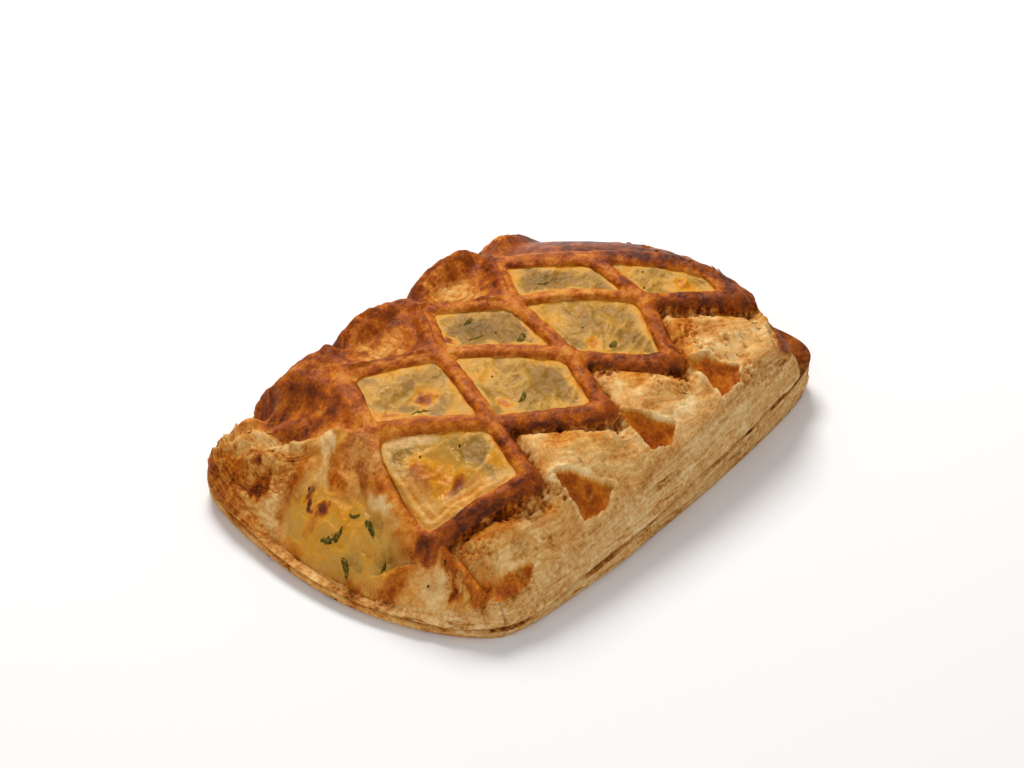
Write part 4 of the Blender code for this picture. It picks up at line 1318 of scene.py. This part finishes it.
def add_filling(material):
    points, looks = filling_piece()
    mesh = mesh_from("filling_top", points, grid_faces(FILLING_GRID[1], FILLING_GRID[0]), looks,
                     material)
    new_object("filling_top", mesh, "filling")
    return points


# ---- Floor, light and camera ----
CAMERA_PLACE = Vector((-0.4380, -0.3483, 0.4592))
CAMERA_AZIMUTH = -51.5
CAMERA_ELEVATION = 38.0
FOCAL_PIXELS = 2750.0
IMAGE_WIDTH = 1024.0
FLOOR_HALF = 3.0
WORLD_STRENGTH = 0.46
# Place in m, size in m, watts, colour
KEY_LIGHT = ((0.34, 0.42, 0.70), 0.40, 7.4, (1.0, 0.98, 0.95))
FILL_LIGHT = ((-0.62, -0.42, 0.60), 0.50, 2.1, (1.0, 0.99, 0.98))


def add_floor():
    half = FLOOR_HALF
    mesh = bpy.data.meshes.new("floor")
    mesh.from_pydata([(-half, -half, 0), (half, -half, 0), (half, half, 0), (-half, half, 0)],
                     [], [(0, 1, 2, 3)])
    mesh.materials.append(floor_material())
    floor = bpy.data.objects.new("floor", mesh)
    bpy.context.scene.collection.objects.link(floor)


def add_light(name, place, size, watts, colour):
    light = bpy.data.lights.new(name, "AREA")
    light.shape = "DISK"
    light.size = size
    light.energy = watts
    light.color = colour
    obj = bpy.data.objects.new(name, light)
    obj.location = place
    obj.rotation_euler = (-Vector(place)).to_track_quat("-Z", "Y").to_euler()
    bpy.context.scene.collection.objects.link(obj)


def add_lights():
    world = bpy.data.worlds.new("studio")
    bpy.context.scene.world = world
    world.use_nodes = True
    background = world.node_tree.nodes["Background"]
    background.inputs["Color"].default_value = (1.0, 1.0, 1.0, 1.0)
    background.inputs["Strength"].default_value = WORLD_STRENGTH
    add_light("key", *KEY_LIGHT)
    add_light("fill", *FILL_LIGHT)


def add_camera():
    azimuth, elevation = math.radians(CAMERA_AZIMUTH), math.radians(CAMERA_ELEVATION)
    forwards = Vector((-math.sin(azimuth) * math.cos(elevation),
                       math.cos(azimuth) * math.cos(elevation), -math.sin(elevation)))
    camera = bpy.data.objects.new("camera", bpy.data.cameras.new("camera"))
    camera.data.sensor_width = 36.0
    camera.data.lens = FOCAL_PIXELS / IMAGE_WIDTH * camera.data.sensor_width
    camera.data.clip_start = 0.01
    camera.location = CAMERA_PLACE + Vector(CENTRING) * MM
    camera.rotation_euler = forwards.to_track_quat("-Z", "Y").to_euler()
    bpy.context.scene.collection.objects.link(camera)
    bpy.context.scene.camera = camera


strudel = strudel_material()
crust_points = add_crust(strudel)
add_base(strudel)
filling_points = add_filling(strudel)
add_herbs(strudel, crust_points, filling_points)
add_floor()
add_lights()
add_camera()
bpy.context.scene.view_settings.view_transform = "Standard"
